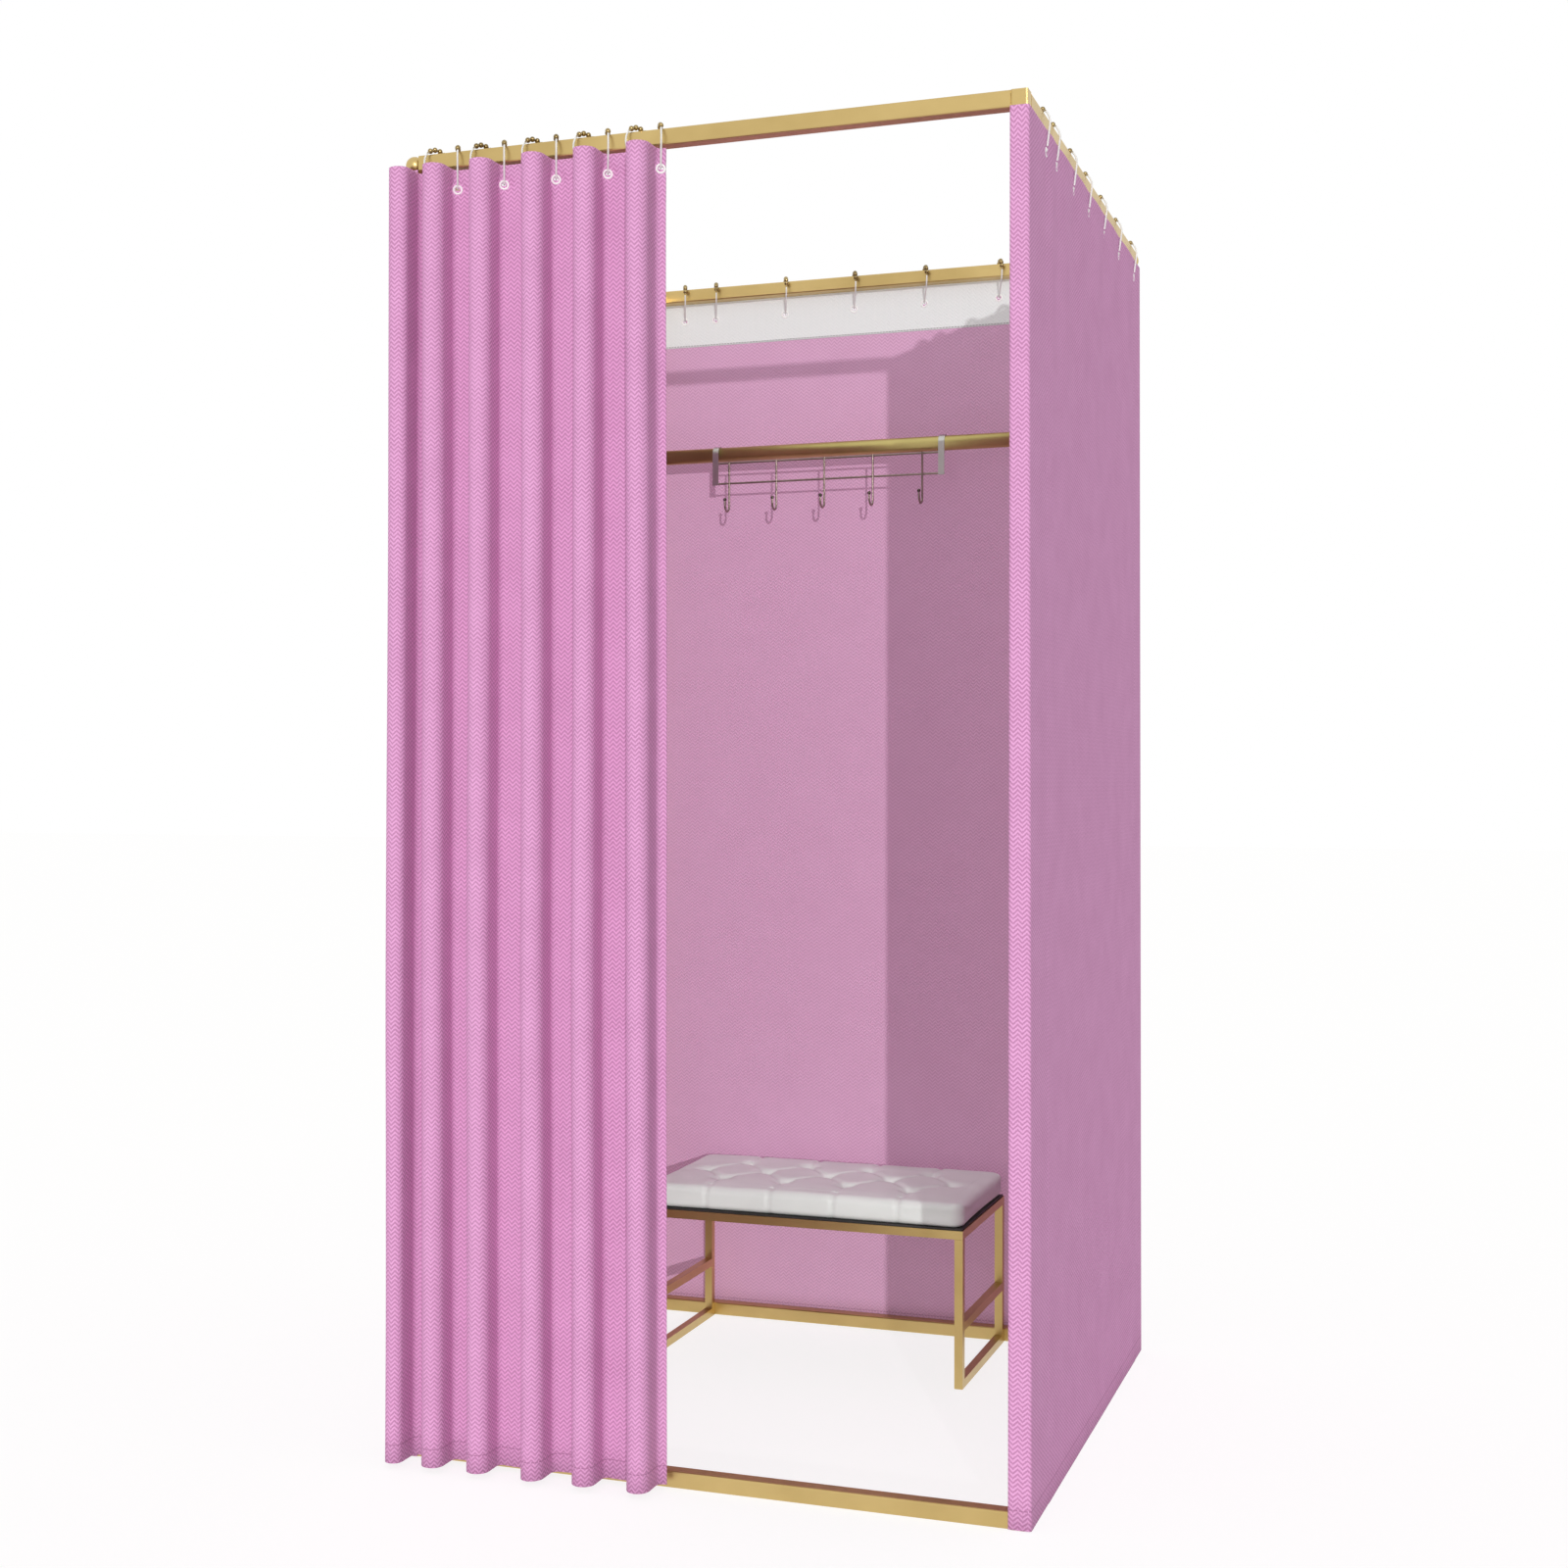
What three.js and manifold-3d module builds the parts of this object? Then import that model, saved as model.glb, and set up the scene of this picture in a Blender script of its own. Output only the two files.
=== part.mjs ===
// Portable fitting room: a free-standing frame of square tube with a curtain on each side.
// It holds a garment rail with a hook rack hung over it, and a loose upholstered bench.
// Units are millimetres. X runs across the doorway, Y from the doorway to the rear, Z up.
// The origin is on the floor, under the middle of the whole outline.

import * as THREE from 'three';
import { mergeVertices } from 'three/addons/utils/BufferGeometryUtils.js';
import Module from 'manifold-3d';

const wasm = await Module();
wasm.setup();

// Room frame
const roomWidth = 1000;
const roomDepth = 975;
const roomHeight = 2050;
const tubeSize = 25;
const tubeWall = 1.2;
const tubeCorner = 2.5;
const plugLength = 30;
const footPlate = 2;
const plugPlay = 0.6;
const ballDiameter = 29;
const seam = 0.3;

// Curtain cloth
const clothThickness = 2;
const headerGap = 4;
const panelHem = 1;
const panelLean = 6;
const eyeletHole = 9;
const eyeletPlay = 1.5;
const tiltedEyeletPlay = 2.6;

// Roller hooks
const wireDiameter = 3;
const rollerDiameter = 8;
const rollerCount = 5;
const rollerPitch = THREE.MathUtils.degToRad(22.5);
const rollerShoulder = THREE.MathUtils.degToRad(5);
const hookRadius = 24;
const hookDrop = 44;
const hookFootRadius = 4;
const claspGap = 0.8;
const frontHookReach = 10;
const sideHookTurn = THREE.MathUtils.degToRad(28);
const rearHookTurn = THREE.MathUtils.degToRad(22);

// Front curtain, gathered at the left of the doorway
const foldCount = 5;
const foldPitch = 86;
const foldDepth = 52;
const foldRadius = 17.5;
const foldCornerRadius = 10;
const foldTurn = THREE.MathUtils.degToRad(26);
const frontHem = 9;
const hemForward = 18;
const leadMargin = 4;
const edgeClearance = 0.8;

// How far each fold of the front curtain moves sideways, as shares of the fold pitch
const foldTopShares = [0.06, 0, 0.03, 0.04, 0.05];
const foldHemShares = [0.17, 0.07, 0.14, 0.13, 0.17];

// Places of the fixed curtains' eyelets along their rails, as shares of half a rail
const sideHookShares = [-0.8, -0.64, -0.35, -0.07, 0.23, 0.55, 0.9];
const rearHookShares = [-0.87, -0.73, -0.42, -0.12, 0.18, 0.49, 0.8];

// Garment rail and its brackets
const garmentRailDiameter = 28;
const garmentRailWall = 1.5;
const garmentRailDrop = 341;
const garmentRailStandoff = 32;
const collarWall = 3;
const collarWidth = 14;
const collarSetback = 4;
const bracketWidth = 22;
const bracketHeight = 60;
const bracketPlate = 3;
const bracketArm = 10;

// Hook rack
const rackWidth = 470;
const rackCentre = -90;
const rackHookOffset = -4;
const strapWidth = 12;
const strapThickness = 2;
const strapLeg = 62;
const strapWrap = THREE.MathUtils.degToRad(35);
const rackWire = 4;
const rackWeld = 1.2;
const upperWireDrop = 19;
const lowerWireDrop = 59;
const rackHookCount = 5;
const rackHookPitch = 98;
const rackHookDrop = 104;
const rackCurlRadius = 12;
const rackTip = 10;
const rackBall = 7;

// Bench
const benchWidth = 604;
const benchDepth = 325;
const benchFrameHeight = 277;
const benchTube = 15;
const benchStretcherHeight = 100;
const benchCrossBars = 2;
const benchCentre = -50;
const boardThickness = 3;
const boardInset = 2;
const cushionHeight = 47;
const cushionCrown = 9;
const cushionRound = 14;
const cushionDraw = 5;
const tuftDepth = 8;
const tuftSpread = 21;
const tuftColumns = 5;
const tuftRowShares = [-0.46, 0, 0.46];

// Facets of round shapes
const fine = 12;
const tubeCornerFacets = 1;
const foldFacets = 4;
const foldCornerFacets = 3;
const eyeletSides = 8;
const hookSides = 5;
const footFacets = 3;
const rackSides = 6;
const curlFacets = 5;
const ballRings = 6;
const seatSteps = 4;
const cushionColumns = 26;
const cushionRows = 14;

// Sizes that follow from the ones above
const half = tubeSize / 2;
const wireRadius = wireDiameter / 2;
const rollerRadius = rollerDiameter / 2;
const plugSize = tubeSize - 2 * (tubeWall + plugPlay);
const railCentreHeight = roomHeight - half;
const clothTop = roomHeight - tubeSize - headerGap;
const cornerArm = half - tubeCorner;
const panelOffset = half + seam + clothThickness / 2;
const garmentRailHeight = roomHeight - garmentRailDrop;
const firstRoller = (Math.PI - rollerCount * rollerPitch) / 2;
const X = new THREE.Vector3(1, 0, 0);
const Y = new THREE.Vector3(0, 1, 0);
const Z = new THREE.Vector3(0, 0, 1);

const brass = new THREE.MeshStandardMaterial({ color: 0xc9ae6c, roughness: 0.35, metalness: 0.85 });
const darkBrass = new THREE.MeshStandardMaterial({ color: 0x9c7f45, roughness: 0.3, metalness: 0.9 });
const steel = new THREE.MeshStandardMaterial({ color: 0xd9d6d2, roughness: 0.3, metalness: 0.8 });
const cloth = new THREE.MeshStandardMaterial({ color: 0xc98abb, roughness: 0.95, metalness: 0 });
const leather = new THREE.MeshStandardMaterial({ color: 0xe9e8e6, roughness: 0.45, metalness: 0 });
const board = new THREE.MeshStandardMaterial({ color: 0x2b2a28, roughness: 0.8, metalness: 0 });

const room = new THREE.Group();

// Adds one named sub-part
function add(name, geometry, material) {
  const mesh = new THREE.Mesh(geometry, material);
  mesh.name = name;
  room.add(mesh);
  return mesh;
}

// Makes a solid that can be joined and cut from a closed geometry
function solid(geometry) {
  const bare = geometry.clone();
  bare.deleteAttribute('normal');
  bare.deleteAttribute('uv');
  const merged = mergeVertices(bare);
  const vertProperties = new Float32Array(merged.attributes.position.array);
  const triVerts = new Uint32Array(merged.index.array);
  return new wasm.Manifold(new wasm.Mesh({ numProp: 3, vertProperties, triVerts }));
}

function geometryOf(shape) {
  const mesh = shape.getMesh();
  const geometry = new THREE.BufferGeometry();
  geometry.setAttribute('position', new THREE.BufferAttribute(mesh.vertProperties, 3));
  geometry.setIndex(new THREE.BufferAttribute(mesh.triVerts, 1));
  return geometry;
}

function join(...geometries) {
  return geometryOf(geometries.map(solid).reduce((sum, next) => sum.add(next)));
}

function cut(base, ...tools) {
  return geometryOf(tools.map(solid).reduce((rest, tool) => rest.subtract(tool), solid(base)));
}

function box(low, high) {
  const size = high.clone().sub(low);
  const centre = low.clone().add(high).divideScalar(2);
  return new THREE.BoxGeometry(size.x, size.y, size.z).translate(centre.x, centre.y, centre.z);
}

// A square outline with rounded corners, around the origin
function squareOutline(path, size, radius) {
  const arm = size / 2 - radius;
  path.moveTo(arm + radius, -arm);
  path.absarc(arm, arm, radius, 0, Math.PI / 2, false);
  path.absarc(-arm, arm, radius, Math.PI / 2, Math.PI, false);
  path.absarc(-arm, -arm, radius, Math.PI, 1.5 * Math.PI, false);
  path.absarc(arm, -arm, radius, 1.5 * Math.PI, 2 * Math.PI, false);
  return path;
}

function extrude(shape, depth, facets = tubeCornerFacets) {
  return new THREE.ExtrudeGeometry(shape, { depth, curveSegments: facets, bevelEnabled: false });
}

// Turns a geometry made along Z so that it runs along the given direction
function along(geometry, direction) {
  const turn = new THREE.Quaternion().setFromUnitVectors(Z, direction);
  return geometry.applyQuaternion(turn);
}

// An outline drawn in Y and Z, extruded along X and centred on it
function acrossX(shape, width, facets) {
  const geometry = extrude(shape, width, facets).translate(0, 0, -width / 2);
  return geometry.applyMatrix4(new THREE.Matrix4().makeBasis(Y, Z, X));
}

// Square tube from a point along a direction, open at both ends
function squareTube(start, direction, length) {
  const shape = squareOutline(new THREE.Shape(), tubeSize, tubeCorner);
  const bore = tubeSize - 2 * tubeWall;
  shape.holes.push(squareOutline(new THREE.Path(), bore, tubeCorner - tubeWall));
  const tube = along(extrude(shape, length), direction);
  return tube.translate(start.x, start.y, start.z);
}

// Square plug of a given length that slides into a tube
function plug(start, direction, length) {
  const stub = new THREE.BoxGeometry(plugSize, plugSize, length).translate(0, 0, length / 2);
  return along(stub, direction).translate(start.x, start.y, start.z);
}

// Adds the points of an arc, in equal steps, with both ends
function arc(points, centreX, centreY, radius, from, to, facets) {
  for (let step = 0; step <= facets; step += 1) {
    const angle = from + (to - from) * step / facets;
    points.push(new THREE.Vector2(centreX + radius * Math.cos(angle), centreY + radius * Math.sin(angle)));
  }
}

// A round bar along points drawn in Y and Z, with its own radius at every point
function bar(points, radii, sides) {
  const position = [];
  const index = [];
  points.forEach((point, place) => {
    const before = points[Math.max(place - 1, 0)];
    const after = points[Math.min(place + 1, points.length - 1)];
    const way = after.clone().sub(before).normalize();
    for (let side = 0; side < sides; side += 1) {
      const angle = side * 2 * Math.PI / sides;
      const out = radii[place] * Math.cos(angle);
      position.push(radii[place] * Math.sin(angle), point.x + way.y * out, point.y - way.x * out);
    }
  });
  for (let place = 0; place < points.length - 1; place += 1) {
    for (let side = 0; side < sides; side += 1) {
      const a = place * sides + side;
      const b = place * sides + (side + 1) % sides;
      index.push(a, b + sides, b, a, a + sides, b + sides);
    }
  }
  const end = (points.length - 1) * sides;
  for (let side = 1; side < sides - 1; side += 1) {
    index.push(0, side, side + 1, end, end + side + 1, end + side);
  }
  const geometry = new THREE.BufferGeometry();
  geometry.setAttribute('position', new THREE.Float32BufferAttribute(position, 3));
  geometry.setIndex(index);
  return geometry;
}

// Posts: closed at the foot, with a plug at the foot for each of two base rails
function post(signX, signY) {
  const centre = new THREE.Vector3(signX * (roomWidth / 2 - half), signY * (roomDepth / 2 - half), 0);
  const height = roomHeight - tubeSize - seam;
  const tube = squareTube(centre, Z, height);
  const plate = extrude(squareOutline(new THREE.Shape(), tubeSize, tubeCorner), footPlate);
  plate.translate(centre.x, centre.y, 0);
  const inward = half - tubeWall;
  const plugs = [X.clone().multiplyScalar(-signX), Y.clone().multiplyScalar(-signY)].map((way) => {
    const start = centre.clone().add(way.clone().multiplyScalar(inward)).setZ(half);
    return plug(start, way, plugLength + tubeWall);
  });
  return join(tube, plate, ...plugs);
}

// Corner fittings: a ball or a square block, with plugs into the post and two top rails
function cornerFitting(signX, signY, square) {
  const reach = new THREE.Vector2(roomWidth / 2 - half, roomDepth / 2 - half);
  const centre = new THREE.Vector3(signX * reach.x, signY * reach.y, railCentreHeight);
  const head = square
    ? extrude(squareOutline(new THREE.Shape(), tubeSize, tubeCorner), tubeSize).translate(0, 0, -half)
    : new THREE.SphereGeometry(ballDiameter / 2, fine, ballRings).rotateX(Math.PI / 2);
  head.translate(centre.x, centre.y, centre.z);
  const ways = [Z.clone().negate(), X.clone().multiplyScalar(-signX), Y.clone().multiplyScalar(-signY)];
  return join(head, ...ways.map((way) => plug(centre, way, half + plugLength)));
}

// Rails between the posts, at the floor and at the top
function railAlongX(signY, height) {
  const length = roomWidth - 2 * (tubeSize + seam);
  return squareTube(new THREE.Vector3(-length / 2, signY * (roomDepth / 2 - half), height), X, length);
}

function railAlongY(signX, height) {
  const length = roomDepth - 2 * (tubeSize + seam);
  return squareTube(new THREE.Vector3(signX * (roomWidth / 2 - half), -length / 2, height), Y, length);
}

// Roller hook: a pear-shaped wire loop round the rail, with rollers over the top.
// It is drawn across a rail that runs along X, with the rail's centre at the origin.
function rollerHook() {
  const footCentre = -(hookDrop - hookFootRadius);
  const lean = Math.asin((hookRadius - hookFootRadius) / -footCentre);
  const legWay = new THREE.Vector2(Math.sin(lean), Math.cos(lean));
  const legEnd = new THREE.Vector2(legWay.y, -legWay.x).multiplyScalar(hookFootRadius);
  legEnd.y += footCentre;
  const clasp = legEnd.clone().add(legWay.clone().setLength(claspGap + wireDiameter));
  const loop = [[-lean, wireRadius], [(firstRoller - lean) / 2, wireRadius], [firstRoller, wireRadius]];
  for (let index = 0; index < rollerCount; index += 1) {
    const start = firstRoller + index * rollerPitch;
    loop.push([start + rollerShoulder, rollerRadius]);
    loop.push([start + rollerPitch - rollerShoulder, rollerRadius]);
    loop.push([start + rollerPitch, wireRadius]);
  }
  loop.push([Math.PI - (firstRoller - lean) / 2, wireRadius], [Math.PI + lean, wireRadius]);
  const middle = new THREE.Vector2();
  const points = loop.map(([angle]) => new THREE.Vector2(hookRadius, 0).rotateAround(middle, angle));
  points.unshift(clasp);
  arc(points, 0, footCentre, hookFootRadius, Math.PI + lean, 2 * Math.PI - lean, footFacets);
  const radii = points.map((_, place) => loop[place - 1]?.[1] ?? wireRadius);
  return bar(points, radii, hookSides);
}

// Height of the square rail's top over its centre, at a distance across the rail, with a clearance
function railTop(across) {
  const past = Math.max(Math.abs(across) - cornerArm, 0);
  const reach = tubeCorner + seam;
  return past < reach ? cornerArm + Math.sqrt(reach ** 2 - past ** 2) : -Infinity;
}

// How high a hook's loop sits over the rail's centre, with its rollers resting on the rail.
// The hook is tilted in its own plane, and then turned about the vertical.
function loopSeat(tilt, turn) {
  let seat = -Infinity;
  const rollerLength = rollerPitch - 2 * rollerShoulder;
  for (let place = 0; place < rollerCount * (seatSteps + 1); place += 1) {
    const start = firstRoller + Math.floor(place / (seatSteps + 1)) * rollerPitch + rollerShoulder;
    const angle = start + rollerLength * (place % (seatSteps + 1)) / seatSteps;
    for (let side = 0; side < fine; side += 1) {
      const around = side * 2 * Math.PI / fine;
      const inward = hookRadius - rollerRadius * Math.cos(around);
      const point = new THREE.Vector3(rollerRadius * Math.sin(around), inward, 0);
      point.applyAxisAngle(X, angle + tilt).applyAxisAngle(Z, turn);
      seat = Math.max(seat, railTop(point.y) - point.z);
    }
  }
  return seat;
}

// A hook whose foot hangs at a distance across the rail, measured in the hook's own plane
function hangingHook(reach, turn) {
  const tilt = Math.asin(reach / hookDrop);
  const seat = loopSeat(tilt, turn);
  const foot = railCentreHeight + seat - hookDrop * Math.cos(tilt);
  return { tilt, turn, seat, foot, slip: reach * Math.sin(turn) };
}

// Height of an eyelet's centre, whose upper rim rests on the foot of a hook
function eyeletHeight(footHeight, play) {
  return footHeight + wireRadius + play - eyeletHole / 2;
}

function eyeletTool(centre, direction) {
  const length = foldRadius;
  const tool = new THREE.CylinderGeometry(eyeletHole / 2, eyeletHole / 2, length, eyeletSides);
  const turn = new THREE.Quaternion().setFromUnitVectors(Y, direction);
  return tool.applyQuaternion(turn).translate(centre.x, centre.y, centre.z);
}

// The front curtain's line in plan: an edge fold on the post, then round folds and flat valleys.
// The folds move sideways from the top to the hem, where the share of the drop is 1.
const frontHook = hangingHook(-frontHookReach, foldTurn);
const railFront = -(roomDepth / 2 - half);
const hookLine = railFront - frontHookReach * Math.cos(foldTurn);
const valleyLine = hookLine + foldCornerRadius * (1 - Math.cos(foldTurn));
const crestLine = valleyLine - foldDepth;
const hookFromCrest = foldRadius + foldCornerRadius * (1 - Math.sin(foldTurn));
const edgeFlank = -roomWidth / 2 + tubeSize + edgeClearance + clothThickness / 2;

function foldCentre(index, dropShare) {
  const sideways = foldTopShares[index] + (foldHemShares[index] - foldTopShares[index]) * dropShare;
  return edgeFlank + 2 * foldCornerRadius + foldRadius + seam + (index + sideways) * foldPitch;
}

function curtainLine(dropShare) {
  const points = [];
  const cornerLine = valleyLine - foldCornerRadius;
  const edgeRadius = (edgeFlank + roomWidth / 2) / 2;
  const edgeCentre = edgeFlank - edgeRadius;
  const edgeStart = -roomDepth / 2 - clothThickness - 2 * seam - clothThickness / 2;
  points.push(new THREE.Vector2(edgeCentre - edgeRadius, edgeStart));
  arc(points, edgeCentre, crestLine + edgeRadius, edgeRadius, Math.PI, 2 * Math.PI, foldFacets);
  const edgeCorner = edgeFlank + foldCornerRadius;
  arc(points, edgeCorner, cornerLine, foldCornerRadius, Math.PI, Math.PI / 2, foldCornerFacets);
  for (let index = 0; index < foldCount; index += 1) {
    const centre = foldCentre(index, dropShare);
    const corner = foldRadius + foldCornerRadius;
    arc(points, centre - corner, cornerLine, foldCornerRadius, Math.PI / 2, 0, foldCornerFacets);
    arc(points, centre, crestLine + foldRadius, foldRadius, Math.PI, 2 * Math.PI, foldFacets);
    arc(points, centre + corner, cornerLine, foldCornerRadius, Math.PI, Math.PI / 2, foldCornerFacets);
  }
  const last = points[points.length - 1];
  points.push(new THREE.Vector2(last.x + leadMargin, last.y));
  return points;
}

// Directions square to a line in plan, one at each of its points
function lineNormals(line) {
  return line.map((point, index) => {
    const before = line[Math.max(index - 1, 0)];
    const after = line[Math.min(index + 1, line.length - 1)];
    const way = after.clone().sub(before).normalize();
    return new THREE.Vector2(way.y, -way.x);
  });
}

// A closed sheet of cloth between two matching surfaces, each a list of rows of points
function sheet(front, back) {
  const rows = front.length;
  const columns = front[0].length;
  const position = [...front.flat(), ...back.flat()].flatMap((point) => point.toArray());
  const at = (side, row, column) => side * rows * columns + row * columns + column;
  const index = [];
  const quad = (a, b, c, d) => index.push(a, b, c, a, c, d);
  for (let row = 0; row < rows - 1; row += 1) {
    for (let column = 0; column < columns - 1; column += 1) {
      quad(at(0, row, column), at(0, row + 1, column), at(0, row + 1, column + 1), at(0, row, column + 1));
      quad(at(1, row, column), at(1, row, column + 1), at(1, row + 1, column + 1), at(1, row + 1, column));
    }
    quad(at(0, row, 0), at(1, row, 0), at(1, row + 1, 0), at(0, row + 1, 0));
    const end = columns - 1;
    quad(at(0, row, end), at(0, row + 1, end), at(1, row + 1, end), at(1, row, end));
  }
  for (let column = 0; column < columns - 1; column += 1) {
    const end = rows - 1;
    quad(at(0, 0, column), at(0, 0, column + 1), at(1, 0, column + 1), at(1, 0, column));
    quad(at(0, end, column), at(1, end, column), at(1, end, column + 1), at(0, end, column + 1));
  }
  const geometry = new THREE.BufferGeometry();
  geometry.setAttribute('position', new THREE.Float32BufferAttribute(position, 3));
  geometry.setIndex(index);
  return geometry;
}

const frontEyelet = eyeletHeight(frontHook.foot, eyeletPlay);

function curtainDrop(height) {
  return (clothTop - height) / (clothTop - frontHem);
}

// Eyelets of the front curtain, one on each flank of a fold
function frontEyelets() {
  const eyelets = [];
  const dropShare = curtainDrop(frontEyelet);
  const y = hookLine - hemForward * dropShare;
  for (let index = 0; index < foldCount; index += 1) {
    const centre = foldCentre(index, dropShare);
    eyelets.push({ x: centre - hookFromCrest, y, turn: -foldTurn });
    eyelets.push({ x: centre + hookFromCrest, y, turn: foldTurn });
  }
  return eyelets;
}

function frontCurtain() {
  const levels = [clothTop, frontEyelet - hookDrop, frontHem];
  const surface = (offset) => levels.map((height) => {
    const dropShare = curtainDrop(height);
    const line = curtainLine(dropShare);
    return lineNormals(line).map((normal, index) => {
      const x = line[index].x + normal.x * offset;
      return new THREE.Vector3(x, line[index].y + normal.y * offset - hemForward * dropShare, height);
    });
  });
  const body = sheet(surface(clothThickness / 2), surface(-clothThickness / 2));
  const tools = frontEyelets().map(({ x, y, turn }) => (
    eyeletTool(new THREE.Vector3(x, y, frontEyelet), new THREE.Vector3(-Math.sin(turn), Math.cos(turn), 0))
  ));
  return cut(body, ...tools);
}

// Side curtain: stretched over the outer faces of two posts, with its margins wrapped round them.
// It leans a little outwards towards the floor.
const sideHook = hangingHook(panelOffset / Math.cos(sideHookTurn), sideHookTurn);
const rearHook = hangingHook(panelOffset / Math.cos(rearHookTurn), rearHookTurn);

function sideCurtain(sign) {
  const inner = sign * (roomWidth / 2 + seam);
  const outer = sign * (roomWidth / 2 + seam + clothThickness);
  const margin = sign * (roomWidth / 2 - tubeSize);
  const front = -(roomDepth / 2 + seam);
  const rear = roomDepth / 2 + clothThickness + 2 * seam;
  const outline = [
    [margin, front - clothThickness], [outer, front - clothThickness],
    [outer, rear + clothThickness], [margin, rear + clothThickness],
    [margin, rear], [inner, rear], [inner, front], [margin, front],
  ];
  const shape = new THREE.Shape(outline.map((point) => new THREE.Vector2(...point)));
  const drop = clothTop - panelHem;
  const lean = new THREE.Matrix4().makeShear(0, 0, 0, 0, -sign * panelLean / drop, 0);
  const body = extrude(shape, drop).translate(0, 0, -drop).applyMatrix4(lean).translate(0, 0, clothTop);
  const eyelet = eyeletHeight(sideHook.foot, tiltedEyeletPlay);
  const middle = (inner + outer) / 2 + sign * panelLean * (clothTop - eyelet) / drop;
  return cut(body, ...sideHookPlaces().map((y) => eyeletTool(new THREE.Vector3(middle, y, eyelet), X)));
}

function sideHookPlaces() {
  return sideHookShares.map((share) => share * (roomDepth / 2 - tubeSize));
}

function rearHookPlaces() {
  return rearHookShares.map((share) => share * (roomWidth / 2 - tubeSize));
}

function rearCurtain() {
  const near = roomDepth / 2 + seam;
  const low = new THREE.Vector3(-roomWidth / 2, near, panelHem);
  const high = new THREE.Vector3(roomWidth / 2, near + clothThickness, clothTop);
  const middle = near + clothThickness / 2;
  const eyelet = eyeletHeight(rearHook.foot, tiltedEyeletPlay);
  const tools = rearHookPlaces().map((x) => eyeletTool(new THREE.Vector3(x, middle, eyelet), Y));
  return cut(box(low, high), ...tools);
}

// Garment rail: a round tube in front of the rear posts, held by a collar on each of them
const railLine = roomDepth / 2 - tubeSize - garmentRailStandoff;

function ringOutline(outer, inner) {
  const shape = new THREE.Shape().absarc(0, 0, outer, 0, 2 * Math.PI, false);
  shape.holes.push(new THREE.Path().absarc(0, 0, inner, 0, 2 * Math.PI, false));
  return shape;
}

function garmentRail() {
  const radius = garmentRailDiameter / 2;
  const length = roomWidth - tubeSize + collarWidth + 2 * collarSetback;
  const tube = acrossX(ringOutline(radius, radius - garmentRailWall), length, fine);
  return tube.translate(0, railLine, garmentRailHeight);
}

function railBracket(sign) {
  const face = roomDepth / 2 - tubeSize - seam;
  const centre = sign * (roomWidth / 2 - half);
  const inner = garmentRailDiameter / 2 + seam;
  const collar = acrossX(ringOutline(inner + collarWall, inner), collarWidth, fine);
  collar.translate(centre, railLine, garmentRailHeight);
  const span = (width, from, to, height) => box(
    new THREE.Vector3(centre - width / 2, from, garmentRailHeight - height / 2),
    new THREE.Vector3(centre + width / 2, to, garmentRailHeight + height / 2),
  );
  const plate = span(bracketWidth, face - bracketPlate, face, bracketHeight);
  const arm = span(bracketArm, railLine + inner + collarWall / 2, face - bracketPlate / 2, bracketArm);
  return join(collar, plate, arm);
}

// Hook rack: two straps over the garment rail, two wires between them, and a row of hooks
function rackStrap(x) {
  const inner = garmentRailDiameter / 2 + seam;
  const outer = inner + strapThickness;
  const shape = new THREE.Shape();
  shape.moveTo(-outer, -strapLeg);
  shape.absarc(0, 0, outer, Math.PI, -strapWrap, true);
  shape.absarc(0, 0, inner, -strapWrap, Math.PI, false);
  shape.lineTo(-inner, -strapLeg);
  return acrossX(shape, strapWidth, fine).translate(x, railLine, garmentRailHeight);
}

function rackRod(y, drop) {
  const rod = new THREE.CylinderGeometry(rackWire / 2, rackWire / 2, rackWidth, rackSides);
  return rod.rotateZ(Math.PI / 2).translate(rackCentre, y, garmentRailHeight - drop);
}

function rackHook(x, y) {
  const points = [new THREE.Vector2(0, -upperWireDrop)];
  arc(points, -rackCurlRadius, -rackHookDrop, rackCurlRadius, 0, -Math.PI, curlFacets);
  points.push(new THREE.Vector2(-2 * rackCurlRadius, -rackHookDrop + rackTip));
  const wire = bar(points, points.map(() => rackWire / 2), rackSides);
  const ball = new THREE.SphereGeometry(rackBall / 2, eyeletSides, ballRings);
  ball.translate(0, -2 * rackCurlRadius, -rackHookDrop + rackTip);
  return join(wire, ball).translate(x, y, garmentRailHeight);
}

function hookRack() {
  const strapReach = (rackWidth - strapWidth) / 2;
  const wireLine = railLine - garmentRailDiameter / 2 - seam + rackWire / 2 - rackWeld;
  const hookPlane = wireLine - rackWire + rackWeld;
  const hooks = [];
  for (let index = 0; index < rackHookCount; index += 1) {
    const x = rackCentre + rackHookOffset + (index - (rackHookCount - 1) / 2) * rackHookPitch;
    hooks.push(rackHook(x, hookPlane));
  }
  return join(
    rackRod(wireLine, upperWireDrop),
    rackRod(wireLine, lowerWireDrop),
    rackStrap(rackCentre - strapReach),
    rackStrap(rackCentre + strapReach),
    ...hooks,
  );
}

// Bench: two side frames, a ladder of rails between them, a board and a tufted cushion
const benchRear = roomDepth / 2 - tubeSize - seam;
const benchFront = benchRear - benchDepth;

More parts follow.
